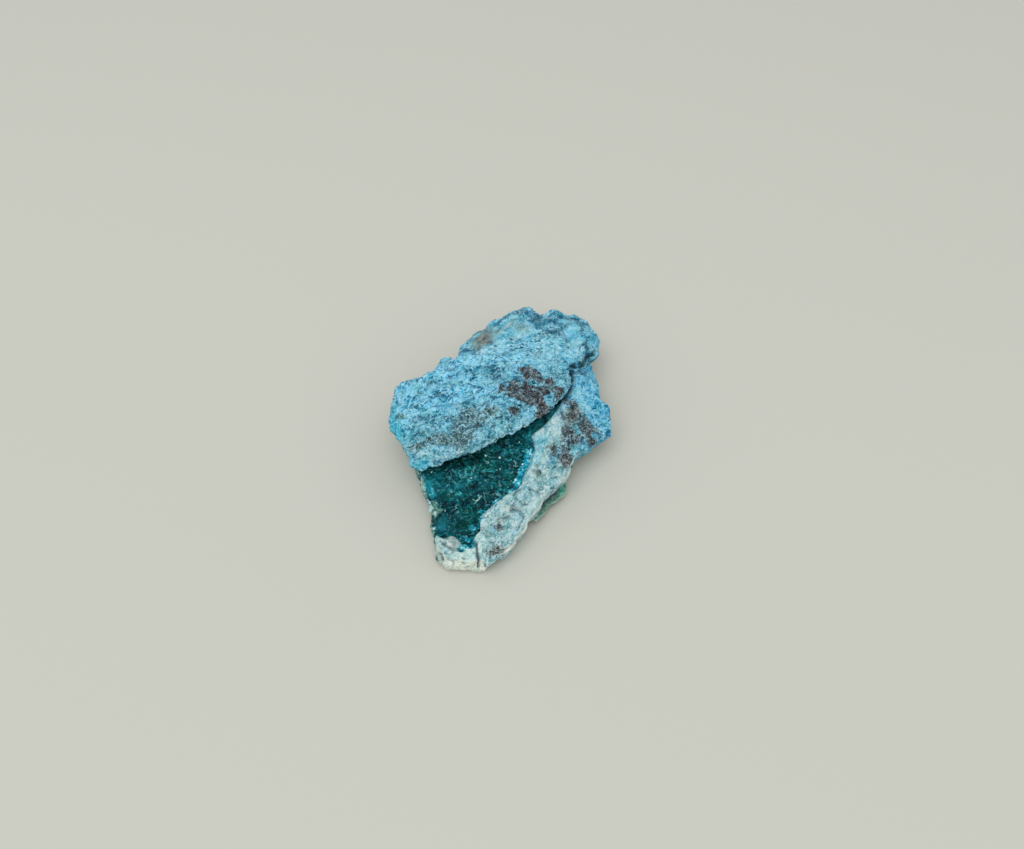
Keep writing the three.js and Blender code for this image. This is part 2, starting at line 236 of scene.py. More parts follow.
def in_from_ledge(x, y):
    """How far a place lies in from the plate's ledge, which is a parabola in plan."""
    along, across = along_plate(x, y)
    return across + 7.7 - 0.0132 * (along + 1.5) ** 2


def plate_underside(x, y):
    """Clear of the bare face under the ledge, then an S-curve down into the heart."""
    sunk = heart_top(x, y) - 1.2
    hung = np.maximum(plate_top(x, y) - 1.6, sunk)
    return hung + (sunk - hung) * smooth(2.2, 3.6, in_from_ledge(x, y))


def underside(x, y):
    """A broad bulge, parabolic both ways."""
    along, across = y + 0.4 * x, x - 0.4 * y
    return UNDERSIDE + 0.0022 * along**2 + 0.011 * across**2


# ---- Lumps

FINE = 8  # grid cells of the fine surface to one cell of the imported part's
CURVE_STEPS = 2000  # steps along a curve by which its length is measured
BREAK_BEVEL = 14  # how sharply broken facets meet
CRYSTAL_BEVEL = 50  # how sharply the wide crystal facets meet


def curve_points(points, closed, share):
    """Points at shares of the length of a Catmull-Rom curve of tension one half."""
    points = np.array(points, float)
    if closed:
        padded = np.concatenate([points[-1:], points, points[:2]])
    else:
        first, last = 2 * points[0] - points[1], 2 * points[-1] - points[-2]
        padded = np.concatenate([[first], points, [last]])
    spans = len(padded) - 3

    def at(t):
        n = np.minimum(np.floor(t * spans), spans - 1).astype(int)
        f = (t * spans - n)[..., None]
        p0, p1, p2, p3 = (padded[n + step] for step in range(4))
        t0, t1 = 0.5 * (p2 - p0), 0.5 * (p3 - p1)
        return (
            p1 + t0 * f + (3 * (p2 - p1) - 2 * t0 - t1) * f**2
            + (2 * (p1 - p2) + t0 + t1) * f**3
        )

    t = np.linspace(0, 1, CURVE_STEPS + 1)
    steps = np.linalg.norm(np.diff(at(t), axis=0), axis=1)
    lengths = np.concatenate([[0], np.cumsum(steps)])
    return at(np.interp(share * lengths[-1], lengths, t))


def ring_place(i, j, rings, stretch):
    """
    Where grid points lie on rings that are oblongs about a line of points: the ring, how far
    along that line its nearest point is, and how far round the ring, both from 0 to 1.
    """
    past = above(np.abs(i) - stretch)
    ring = np.maximum(past, np.abs(j))
    along = (np.clip(i / stretch, -1, 1) + 1) / 2
    length = rings + stretch
    whole = np.maximum(ring, 1)
    x = np.where(past == 0, i, np.sign(i) * (stretch + past / whole * rings))
    y = j / whole * rings
    right, top, left = (past == ring) & (i > 0), j == ring, past == ring
    steps = np.select(
        [right, top, left],
        [y, rings + length - x, 2 * rings + 2 * length - y],
        3 * rings + 3 * length + x,
    )
    turns = np.mod(steps, 4 * (rings + length)) / (4 * (rings + length))
    return ring, along, np.where(ring == 0, np.where(i < 0, 0.5, 0.0), turns)


def rag(x, y, seed):
    """
    The outline's ragged edge: how far the rim stands out of its curve, by noise 2.4 mm wide
    and noise 1 mm wide.
    """
    broad = noise(x / 2.4, y / 2.4, 0 * x, seed + 6)
    return 0.34 * broad + 0.22 * noise(x, y, 0 * x, seed + 7)


def crust_relief(p, seed):
    """Crust relief from about -1 to 1: ridges 6.5 mm wide, and noise 3.1 and 1.5 mm wide."""
    ridges = 1 - 2 * np.abs(noise_at(p, (6.5, 6.5, 5), seed))
    lumps = noise_at(p, (3.1, 3.1, 2.6), seed + 1)
    return 0.4 * ridges + 0.6 * lumps + 0.5 * noise_at(p, 1.5, seed + 2)


def sheet(form, side):
    """
    One sheet of a lump: points, the directions that relief moves them, and how far round the
    edge each has turned, 0 flat and 1 at the rim. Rings run out from the spine to the ragged
    outline. Away from the rim the height is form's top or bottom. Over the last rings it is
    rim + (sheet - rim) * cos(turn), a quarter ellipse.
    """
    rings, stretch, edge_rings = (
        form[key] * FINE for key in ("rings", "stretch", "edge_rings")
    )
    flat_rings = rings - edge_rings
    i = np.arange(-rings - stretch, rings + stretch + 1)[:, None]
    j = np.arange(-rings, rings + 1)[None, :]
    i, j = np.broadcast_arrays(i.astype(float), j.astype(float))
    ring, along, turns = ring_place(i, j, rings, stretch)
    middle = curve_points(form["spine"], False, along)
    rim = curve_points(form["outline"], True, turns)
    outward = rim - middle
    outward /= np.linalg.norm(outward, axis=-1, keepdims=True)
    bulge = rag(rim[..., 0], rim[..., 1], form["seed"])
    rim = rim + outward * bulge[..., None]
    reach = np.linalg.norm(rim - middle, axis=-1)
    edge = form["top_edge"] * (1 + 1.6 * bulge) if side > 0 else form["bottom_edge"]
    width = np.minimum(edge, 0.8 * reach)
    turn = above(ring - flat_rings) / edge_rings * (math.pi / 2)
    inset = width * (1 - np.sin(turn))
    out = np.minimum(ring / flat_rings, 1) * (reach - inset) / reach
    flat = middle + (rim - middle) * out[..., None]
    x, y = flat[..., 0], flat[..., 1]
    rim_height = form["rim"](rim[..., 0], rim[..., 1])
    height = (form["top"] if side > 0 else form["bottom"])(x, y)
    rise = np.cos(turn) if side > 0 else np.cos(turn) ** form["hollow"]
    p = np.stack([x, y, rim_height + (height - rim_height) * rise], -1)
    leaning = outward * np.sin(turn)[..., None]
    off = np.concatenate([leaning, side * np.cos(turn)[..., None]], -1)
    size, top_depth, flank_depth = form["fracture"]
    relief = form["crust"] * crust_relief(p, form["seed"])
    depth = top_depth if side > 0 else flank_depth
    relief = relief + depth * cells(p, size, form["seed"] + 10, BREAK_BEVEL)
    return p + off * relief[..., None], off, turn / (math.pi / 2)


def inside_box(points):
    """
    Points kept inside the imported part's box: past a place 0.4 mm short of a side, they crowd
    up to it as 1 - exp(-distance). None lies under the floor.
    """
    near = 0.4
    points = points.copy()
    low, high = (np.array(corner) / MM + MIDDLE for corner in cad_box)
    for side, axes in ((high, (0, 1, 2)), (low, (0, 1))):
        for axis in axes:
            sign = 1 if side is high else -1
            past = above(sign * (points[:, axis] - side[axis]) + near)
            points[:, axis] -= sign * (past - near * (1 - np.exp(-past / near)))
    points[:, 2] = above(points[:, 2])
    return points


def add_piece(name, points, faces, smooth_faces=True):
    """A piece of the stone, in metres about the origin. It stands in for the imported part."""
    mesh = bpy.data.meshes.new(name)
    mesh.from_pydata((inside_box(points) - MIDDLE) * MM, [], faces)
    mesh.polygons.foreach_set("use_smooth", np.full(len(mesh.polygons), smooth_faces))
    piece = bpy.data.objects.new(name, mesh)
    bpy.context.scene.collection.objects.link(piece)
    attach(piece, "root")
    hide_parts(NODE)
    return piece


def lump(name, form, finish_relief):
    """
    A closed lump of two sheets that share their rim. finish_relief(points, side, turn) gives
    the fine relief in millimetres and a table of named values for the finish, which are kept
    on the piece's points.
    """
    sheets = []
    for side in (1, -1):
        p, off, turn = sheet(form, side)
        relief, values = finish_relief(p, side, turn)
        sheets.append((p + off * relief[..., None], values))
    rows, columns = sheets[0][0].shape[:2]
    upper = np.arange(rows * columns).reshape(rows, columns)
    on_rim = np.ones((rows, columns), bool)
    on_rim[1:-1, 1:-1] = False
    inner = ~on_rim
    lower = np.where(on_rim, upper, 0)
    lower[inner] = rows * columns + np.arange(inner.sum())
    points = np.concatenate([sheets[0][0].reshape(-1, 3), sheets[1][0][inner]])
    quads = []
    for grid, side in ((upper, 1), (lower, -1)):
        a, b = grid[:-1, :-1], grid[1:, :-1]
        c, d = grid[1:, 1:], grid[:-1, 1:]
        order = (a, b, c, d) if side > 0 else (d, c, b, a)
        quads.append(np.stack(order, -1).reshape(-1, 4))
    piece = add_piece(name, points, np.concatenate(quads))
    for key, value in sheets[0][1].items():
        layer = piece.data.attributes.new(key, "FLOAT", "POINT")
        both = np.concatenate([value.ravel(), sheets[1][1][key][inner]])
        layer.data.foreach_set("value", both.astype(np.float32))
    return piece


# ---- The stone's forms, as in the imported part
#
# The spine and the outline are curves in plan. Rings, stretch and edge_rings size the grid.
# The sheets begin to turn over top_edge and bottom_edge in from the outline, and the lower
# one's turn is raised to the power of hollow. Crust is the height of the crust's relief, and
# fracture is the width of broken facets, then their height on the top and on the flanks.

# The dark teal heart, which the crusts lie on and the stone rests on.
HEART = dict(
    spine=[(-5.5, -19), (-1, -6), (3, 6), (6.5, 17)],
    outline=[
        (8.6, 23.8), (4.6, 24.2), (-0.2, 21.8), (-3.8, 18.2), (-6.2, 14.0),
        (-8.6, 10.8), (-12.0, 7.8), (-16.4, 5.0), (-17.2, 1.0), (-16.4, -2.4),
        (-14.6, -5.8), (-13.2, -9.4), (-12.5, -11.2), (-12.2, -13.0), (-11.2, -14.5),
        (-10.9, -15.9), (-10.3, -16.8), (-9.8, -18.1), (-9.4, -19.6), (-9.0, -22.2),
        (-8.2, -24.6), (-4.5, -25.2), (-1.4, -24.2), (1.2, -21.6), (4.4, -17.2),
        (8.0, -12.4), (10.6, -8.6), (12.4, -6.0), (15.4, -3.6), (17.4, -0.6),
        (17.8, 2.6), (16.2, 6.4), (14.8, 11.2), (14.3, 15.6), (15.4, 20.4),
        (13.0, 23.6),
    ],
    rings=9, stretch=11, edge_rings=4, top_edge=1.0, bottom_edge=5.5, hollow=0.9,
    rim=lambda x, y: np.maximum(covered_heart_top(x, y) - 1.6, 1.3),
    top=covered_heart_top, bottom=underside,
    crust=0.3, fracture=(6.5, 0.25, 1.3), seed=3,
)

# The big plate, whose lower edge overhangs the bare face as a ledge.
PLATE = dict(
    spine=[(-10.5, -1.5), (-3, 2), (5, 5.5)],
    outline=[
        (12.0, 7.9), (11.7, 9.8), (10.4, 11.1), (8.3, 12.4), (6.2, 13.6), (3.9, 14.1),
        (1.6, 12.7), (-0.1, 10.9), (-3.2, 10.4), (-6.0, 10.2), (-8.2, 10.1),
        (-9.9, 9.9), (-11.2, 7.8), (-13.1, 6.1), (-15.6, 5.4), (-16.9, 5.2),
        (-17.6, 3.6), (-17.7, 2.0), (-18.1, -0.9), (-18.1, -2.3), (-16.8, -4.5),
        (-15.8, -6.1), (-15.9, -7.2), (-14.8, -8.7), (-13.2, -10.8), (-11.1, -10.6),
        (-8.9, -9.7), (-6.7, -9.1), (-4.7, -8.4), (-2.8, -7.4), (-0.9, -6.6),
        (1.0, -5.5), (3.0, -4.3), (5.0, -2.9), (7.0, -1.3), (8.8, 0.4), (10.1, 1.8),
        (11.0, 3.8), (11.8, 6.0),
    ],
    rings=8, stretch=8, edge_rings=3, top_edge=0.6, bottom_edge=2.6, hollow=2.5,
    rim=lambda x, y: plate_top(x, y) - 0.5,
    top=plate_top, bottom=plate_underside,
    crust=0.3, fracture=(5, 0.3, 0.6), seed=21,
)

# The rear crust. Its near edge runs in under the big plate.
REAR = dict(
    spine=[(-0.5, 13.8), (5, 15.5), (11.5, 18)],
    outline=[
        (18.0, 19.2), (17.4, 20.9), (16.3, 23.0), (15.2, 24.2), (13.8, 24.6),
        (12.3, 23.9), (10.6, 23.9), (9.1, 23.8), (7.8, 23.4), (7.0, 24.2), (6.0, 24.8),
        (4.4, 24.5), (1.6, 23.5), (-0.2, 22.7), (-1.9, 22.0), (-3.0, 20.4),
        (-4.5, 19.0), (-5.5, 17.4), (-6.8, 15.7), (-7.3, 13.7), (-6.0, 10.3),
        (-1.8, 7.7), (5.1, 7.1), (9.4, 8.6), (11.4, 9.7), (13.1, 11.0), (14.2, 12.2),
        (15.0, 13.4), (16.1, 14.8), (17.5, 17.0),
    ],
    rings=7, stretch=5, edge_rings=3, top_edge=0.9, bottom_edge=2.4, hollow=1.6,
    rim=lambda x, y: rear_top(x, y) - 1.5,
    top=rear_top, bottom=lambda x, y: 0 * x + HEART_TOP - 2.6,
    crust=0.36, fracture=(5, 0.5, 0.9), seed=37,
)

# The side crust: a lobe at the right of the big plate, and a tongue to the low end.
BAND = dict(
    spine=[
        (-0.9, -22.5), (1.4, -18.2), (5.6, -12.4), (9.6, -6.6), (12.6, -1), (13.7, 4.5), (13.6, 10),
    ],
    outline=[
        (14.8, 14.5), (12.6, 13.2), (10.6, 10.4), (10.2, 6.9), (10.2, 3.9), (9.9, 1.6),
        (9.2, 0.1), (8.1, -1.5), (7.2, -2.9), (5.9, -4.0), (5.6, -5.4), (5.6, -6.9),
        (5.2, -8.5), (4.5, -10.1), (3.8, -11.7), (3.1, -13.0), (1.7, -14.2),
        (0.3, -15.2), (-1.1, -16.4), (-2.3, -17.7), (-3.0, -19.1), (-3.1, -20.6),
        (-2.9, -22.6), (-2.6, -24.5), (-2.2, -26.4), (-1.3, -26.1), (0.6, -24.3),
        (2.3, -22.0), (3.4, -20.8), (4.7, -18.4), (6.4, -16.0), (7.7, -14.4),
        (9.2, -12.8), (10.3, -11.5), (11.1, -10.3), (11.6, -8.8), (12.2, -7.5),
        (13.5, -6.2), (14.9, -5.3), (16.4, -3.9), (17.7, -2.7), (18.6, -0.9),
        (18.8, 1.2), (18.5, 2.7), (17.3, 3.3), (16.8, 4.8), (16.9, 8.4), (16.4, 10.7),
        (15.9, 12.9),
    ],
    rings=5, stretch=17, edge_rings=3, top_edge=0.5, bottom_edge=1.8, hollow=1.6,
    rim=lambda x, y: band_top(x, y) - 0.4,
    top=band_top, bottom=lambda x, y: np.maximum(heart_top(x, y) - 2.8, 0.8),
    crust=0.22, fracture=(5, 0.3, 0.7), seed=52,
)

# The pale block of the low end, left of the tongue.
BLOCK = dict(
    spine=[(-7.8, -23.7), (-4, -24)],
    outline=[
        (-1.4, -24.1), (-1.7, -22.0), (-2.7, -20.8), (-3.6, -21.5), (-4.8, -22.5),
        (-5.9, -22.0), (-5.8, -21.0), (-7.1, -20.8), (-8.6, -20.8), (-10.0, -20.7),
        (-9.7, -22.0), (-9.4, -23.3), (-9.0, -24.3), (-8.3, -25.2), (-7.3, -25.8),
        (-5.8, -26.0), (-3.9, -26.0), (-2.6, -26.1), (-1.8, -25.9),
    ],
    rings=4, stretch=2, edge_rings=2, top_edge=0.6, bottom_edge=1.0, hollow=1,
    rim=lambda x, y: 0 * x + 1.8,
    top=lambda x, y: 3.7 + 0.12 * (y + 23), bottom=lambda x, y: 0 * x + 0.2,
    crust=0.22, fracture=(3, 0.3, 0.5), seed=75,
)

# The green sliver, a splinter of the vein that stands out low under the tongue.
SLIVER = dict(
    spine=[(6.6, -15.4), (9.6, -11)],
    outline=[
        (10.2, -9.3), (7.4, -11.6), (5.7, -14.4), (5.3, -16.2), (5.9, -17.1),
        (6.6, -16.2), (7.9, -14.5), (9.2, -13.3), (10.5, -11.7), (10.8, -10.2),
    ],
    rings=3, stretch=4, edge_rings=2, top_edge=0.3, bottom_edge=0.5, hollow=1,
    rim=lambda x, y: 0 * x + 1.5,
    top=lambda x, y: 0 * x + 2.1, bottom=lambda x, y: 0 * x + 0.8,
    crust=0.08, fracture=(3, 0.1, 0.1), seed=81,
)


# ---- Where stains, painted shade and painted highlights lie, in millimetres: (x, y, long radius, short radius, turn in degrees)

PLATE_BROWN = [
    (4.3, 1.2, 3.0, 1.5, -12), (2.0, 2.6, 0.9, 1.7, 0), (4.1, 3.0, 0.7, 1.5, 0),
    (6.6, 2.4, 1.6, 1.1, 20), (9.6, 2.8, 1.1, 1.2, 30), (5.0, 6.9, 1.6, 0.9, -10),
    (4.2, 5.9, 0.8, 1.0, 0), (6.3, 5.4, 1.6, 0.8, -30), (8.2, 4.7, 0.7, 1.0, -20),
    (6.9, -0.9, 1.3, 1.3, 0), (0.3, 2.6, 0.6, 0.8, 0), (2.0, -1.6, 0.8, 0.5, 0),
]
PLATE_OLIVE = [
    (-4.5, -3.2, 2.6, 2.2, 40), (-6.0, -6.2, 2.4, 2.1, 30), (-1.4, -2.6, 1.4, 1.4, 0),
    (-10.0, -7.1, 2.6, 1.1, 10), (-13.0, -7.8, 1.2, 0.7, 0), (2.1, -1.5, 0.9, 0.6, 0),
    (6.9, -0.9, 1.1, 1.0, 0), (-16.4, -2.6, 0.8, 0.5, 0),
]
PLATE_GREEN = [
    (-12.5, -7.0, 4.8, 3.4, 30), (-4.0, -5.5, 6.0, 3.2, 27), (1.5, -2.5, 4.0, 2.0, 27),
    (9.5, 6.5, 3.0, 4.0, 0), (-1.0, 5.8, 3.0, 2.2, 0), (5.0, 3.0, 4.5, 4.0, 0),
]
PLATE_DEEP = [
    (-0.6, 7.1, 1.7, 0.6, 0), (-0.5, 5.4, 0.8, 1.4, 0), (0.4, 2.9, 1.0, 0.9, 0),
    (-3.7, 2.5, 1.1, 0.5, 0), (-13.7, -3.4, 1.2, 0.7, -20), (2.9, 5.2, 0.4, 1.0, 0),
    (-8.4, -3.6, 0.7, 0.6, 0), (1.2, -3.4, 0.5, 0.4, 0), (-6.4, -5.0, 1.2, 0.8, 30),
    (-2.6, -1.0, 0.8, 0.3, 30), (-10.4, 1.4, 1.6, 0.4, 30),
]
PLATE_TURQUOISE = [
    (-16.7, -4.4, 1.1, 2.4, 20), (-17.5, -0.8, 0.6, 1.8, 0), (-12.4, -10.2, 1.6, 0.6, 10),
]
# Along the ledge's lip the plate is painted paler: a painted highlight where the lip faces the
# light.
LEDGE_HIGHLIGHT = [(-14.0, -8.0), (-10.5, -9.6), (-4.6, -8.6), (0.0, -6.4), (4.2, -3.6), (7.4, -1.2)]
REAR_BROWN = [(-3.0, 16.1, 2.3, 0.9, 80), (-2.3, 14.4, 0.8, 0.6, 0), (-3.9, 16.8, 0.7, 0.5, 0)]
REAR_OLIVE = [(-3.3, 16.2, 3.2, 1.6, 75), (-0.8, 18.6, 0.9, 0.5, 40)]
REAR_HAZE = [(3.6, 18.2, 1.5, 1.1, 0), (7.3, 16.1, 1.0, 0.5, 0), (1.6, 18.9, 1.6, 0.6, 30)]
# Dark blue patches of the crust's own tone. The one in the gully (6.3, 21.2) and the one along the
# crack (14.7, 19.4) are painted shade in those hollows.
REAR_DARK_AND_SHADE = [
    (6.3, 21.2, 1.1, 2.6, 0), (3.4, 22.6, 1.3, 0.8, 20), (11.0, 21.8, 1.4, 0.6, 0),
    (13.9, 21.7, 1.7, 1.2, -20), (14.7, 19.4, 0.5, 1.5, 0), (9.3, 18.0, 2.0, 1.8, 40),
    (8.6, 20.6, 1.6, 0.9, 0), (11.0, 19.6, 1.2, 0.7, 0),
    (15.0, 14.8, 0.7, 1.8, 0), (2.2, 15.2, 0.5, 0.5, 0), (-5.8, 12.7, 1.1, 0.6, 0),
    (0.5, 21.5, 1.8, 0.5, 25), (-3.2, 19.4, 1.4, 0.3, 40),
]
REAR_FACET = [(-2.6, 16.4, 4.2, 2.2, 60)]
REAR_CALM = [(0.6, 15.6, 2.6, 5.0, -25), (12.6, 17.8, 1.8, 2.4, 0), (16.6, 16.6, 1.6, 3.0, 0)]
REAR_PALE = [(10.5, 12.5, 3.5, 1.8, 40), (2.0, 14.9, 3.4, 1.6, 30)]
REAR_CRACKS = [
    [(7.6, 24.6), (6.9, 22.6), (6.0, 20.8)], [(15.8, 17.8), (15.1, 16.2), (13.9, 13.4)],
]
SEAM = [(-3.0, 10.4), (0.2, 10.6), (1.4, 11.8), (2.9, 12.6), (4.5, 12.6), (5.6, 11.6), (7.5, 11.0)]
FACET_RIDGE = [(-3.4, 11.8), (-1.2, 15.0), (0.7, 18.5), (2.6, 20.8)]
BAND_BROWN = [
    (11.8, 1.6, 0.7, 1.4, 10), (12.0, -0.6, 0.9, 1.4, 0), (11.3, -3.2, 0.9, 1.7, 0),
    (12.3, -4.9, 1.5, 0.9, 10), (14.2, -2.2, 0.9, 1.9, 10), (14.8, -4.8, 0.9, 0.7, 0),
    (16.0, -2.6, 0.5, 1.1, 0), (10.6, -8.0, 1.1, 2.0, -5), (8.5, -6.7, 0.4, 0.9, 0),
    (10.5, -0.7, 0.4, 0.7, 0), (0.2, -19.9, 0.7, 0.4, 0), (-0.9, -24.3, 1.1, 0.5, 20),
    (0.8, -23.8, 1.0, 0.5, 45),
]
BAND_OLIVE = [
    (12.0, -0.4, 1.4, 2.6, 10), (11.2, -5.6, 1.8, 2.4, 0), (14.4, -3.2, 1.3, 2.2, 0),
    (10.4, -8.8, 1.6, 1.6, 0), (6.1, -10.8, 1.0, 1.2, 0), (0.6, -18.9, 1.7, 0.9, 30),
    (1.9, -17.2, 1.2, 0.7, 30), (-0.6, -24.0, 1.8, 1.0, 30), (8.5, -6.6, 0.8, 1.8, 0),
    (-1.6, -21.4, 1.0, 0.7, 30), (13.2, -0.6, 0.8, 1.6, 20),
]
BAND_DOTS = [
    (9.0, -11.4, 0.4, 0.3, 0), (7.9, -13.5, 0.4, 0.3, 0), (7.9, -7.4, 0.6, 0.3, 50),
    (14.0, 9.2, 1.2, 0.6, 0),
]
TONGUE_CRACKS = [
    [(3.5, -13.4), (2.9, -13.9), (2.3, -14.6)], [(4.7, -13.3), (5.5, -13.9), (6.2, -14.7)],
    [(2.6, -15.1), (3.5, -15.7), (4.4, -16.3)],
    [(1.9, -17.0), (3.3, -17.4), (3.8, -18.3), (3.3, -19.4), (2.8, -20.6)],
]
RIGHT_FISSURE = [(-2.7, -23.4), (-2.4, -24.6), (-2.2, -26.3)]
LEFT_FISSURE = [(-3.5, -23.0), (-3.4, -24.0), (-3.1, -25.2), (-3.2, -26.6)]
SLIVER_GAP = [(5.0, -16.6), (6.4, -14.6), (8.0, -12.6), (9.6, -10.8), (10.6, -9.4)]
PLATE_END = [
    (8.8, 0.2), (9.9, 1.5), (10.8, 2.9), (11.7, 4.3), (12.2, 6.0), (12.2, 8.2), (12.0, 10.5),
]
FACE_EDGE_HIGH = [(10.6, 2.6), (8.9, -0.4), (7.6, -2.7), (6.0, -4.1), (5.6, -5.6), (5.3, -7.2)]
FACE_EDGE_MID = [(5.3, -7.0), (4.4, -9.4), (3.6, -10.6), (3.2, -12.4)]
FACE_EDGE_LOW = [(3.0, -12.9), (1.2, -14.5), (-1.3, -16.3), (-2.8, -18.0), (-3.4, -20.2)]
LEFT_RIM = [
    (-12.9, -10.6), (-12.5, -12.9), (-11.7, -14.5), (-10.8, -15.9), (-9.9, -17.3), (-10.4, -18.5),
    (-10.2, -20.6),
]
FACE_EDGE_LEFT = [(-12.4, -10.8), (-11.8, -12.6), (-10.6, -14.4)]
FACE_TURQUOISE = [
    (-4.2, -20.4, 1.3, 1.0, 20), (-8.4, -12.8, 1.4, 0.4, 30), (-5.0, -21.9, 1.4, 1.2, 0),
    (-3.0, -17.4, 0.9, 0.7, 0), (-10.9, -13.0, 0.7, 1.3, 20), (5.6, -4.9, 0.7, 0.6, 0),
    (3.5, -10.9, 1.3, 1.8, -20), (-10.0, -19.4, 0.5, 1.0, 0),
]
FACE_CREAM = [
    (-10.4, -16.0, 1.1, 0.7, -10), (-3.6, -15.2, 0.9, 0.2, 35),
    (-10.6, -20.6, 0.6, 0.8, 0), (-9.4, -16.9, 0.6, 0.4, 0),
]
FLANK_CREAM = [(-9.2, -23.0, 2.4, 3.4, 0)]
FACE_TEAL = [
    (8.8, -0.4, 3.4, 1.5, 50), (-11.0, -12.6, 1.6, 2.4, 20), (6.2, -3.6, 2.0, 1.4, 60),
    (-6.4, -12.6, 1.6, 0.5, 30), (-9.4, -19.8, 0.8, 1.2, 0),
]
BLOCK_TEAL = [
    (-4.6, -22.9, 1.5, 1.3, 0), (-5.5, -23.4, 1.2, 0.8, 0), (-5.4, -21.6, 2.0, 0.7, 0),
    (-5.2, -23.6, 1.4, 0.5, 8),
]
BLOCK_LINE = [(-8.5, -23.0), (-7.9, -23.6), (-7.0, -24.0)]
BLOCK_CHIP = [(-7.2, -22.9, 1.7, 0.8, -8), (-6.2, -22.6, 0.6, 0.4, 20)]
BLOCK_DUSK = [
    (-3.6, -21.9), (-4.8, -22.8), (-5.6, -22.6), (-6.9, -22.1), (-8.2, -22.3), (-10.6, -21.4),
]

# ---- Fine relief and the values that the finishes read


def patches(p, spots):
    """
    How strongly patches cover points, 0 to 1. A patch is an ellipse that fades from its
    middle as exp(-distance^2).
    """
    total = np.zeros(p.shape[:-1])
    for x, y, long, short, turn in spots:
        turn = math.radians(turn)
        dx, dy = p[..., 0] - x, p[..., 1] - y
        along = (dx * math.cos(turn) + dy * math.sin(turn)) / long
        across = (dy * math.cos(turn) - dx * math.sin(turn)) / short
        total = np.maximum(total, np.exp(-(along**2) - across**2))
    return total


def near_lines(p, lines, width):
    """How close points are in plan to any of the polylines: exp(-(distance / width)^2)."""
    nearest = np.full(p.shape[:-1], 1e9)
    for line in lines:
        for (x0, y0), (x1, y1) in zip(line[:-1], line[1:]):
            dx, dy = x1 - x0, y1 - y0
            along = (p[..., 0] - x0) * dx + (p[..., 1] - y0) * dy
            share = np.clip(along / (dx * dx + dy * dy), 0, 1)
            away = (p[..., 0] - x0 - share * dx) ** 2 + (p[..., 1] - y0 - share * dy) ** 2
            nearest = np.minimum(nearest, away)
    return np.exp(-nearest / width**2)


def crested(p, rough_size, ridge_size, seed):
    """A crust's grains, half of them rough and half ridged."""
    return 0.5 * rough(p, rough_size, seed) + 0.5 * rough(p, ridge_size, seed + 4, ridges=True)


def pitted(p, seed, share):
    """Small hollows: where noise 0.9 mm wide stands over a threshold, more for more share."""
    field = noise_at(p, 0.9, seed) + 0.5 * noise_at(2.1 * p, 0.9, seed + 1)
    return smooth(0.75 - share, 1.1 - share, field)


def streaks(p, seed):
    """Noise drawn out along the plate's ledge: 2.6 mm along it and 0.7 mm across."""
    along, across = along_plate(p[..., 0], p[..., 1])
    wide = noise(along / 2.6, across / 0.7, p[..., 2], seed)
    return wide + 0.5 * noise(along / 1.2, across / 0.35, p[..., 2], seed + 1)


def wandering(p, reach, seed):
    """Points moved in plan by noise 1.2 mm wide, so that a line near them wanders."""
    shift = [noise_at(p, 1.2, seed), noise_at(p, 1.2, seed + 1), 0 * p[..., 0]]
    return p + reach * np.stack(shift, -1)


def plate_finish(p, side, turn):
    """
    Crust drawn out in streaks 0.15 mm high, with grains 0.18 mm high, pits 0.3 mm deep and
    a seam along the rear crust.
    """
    up = side > 0
    near = wandering(p, 0.5, 210)
    olive = patches(near, PLATE_OLIVE) * up
    brown = patches(near, PLATE_BROWN) * up
    pits = pitted(p, 201, 0.12 + 0.3 * olive + 0.35 * brown)
    seam = near_lines(wandering(p, 0.5, 207), [SEAM], 0.26) * up
    crest = crested(p, 1.2, 1.5, 205)
    crumbly = 0.32 * rough(p, 1.1, 206) * smooth(0.2, 0.8, turn)
    grit = 0.07 * rough(p, 0.5, 208, 2, ridges=True)
    relief = 0.15 * streaks(p, 203) + 0.18 * crest + grit + crumbly - 0.3 * pits - 0.25 * seam
    values = {
        "brown": brown,
        "olive": olive,
        # A pale band painted along the ledge: a painted highlight on the lit lip.
        "pale": 0.5 * near_lines(p, [LEDGE_HIGHLIGHT], 0.9),
        "deep": patches(near, PLATE_DEEP),
        "teal": patches(near, PLATE_TURQUOISE),
        "speckled": np.maximum(olive, 0.7 * patches(near, PLATE_GREEN)),
        # Pits and the seam are painted dark: painted shade in the hollows.
        "pit_shade": np.maximum(pits, seam),
        "shade": 0 * turn if up else 0.5 * smooth(0.95, 0.6, turn),
        "crest": crest,
    }
    return relief, values


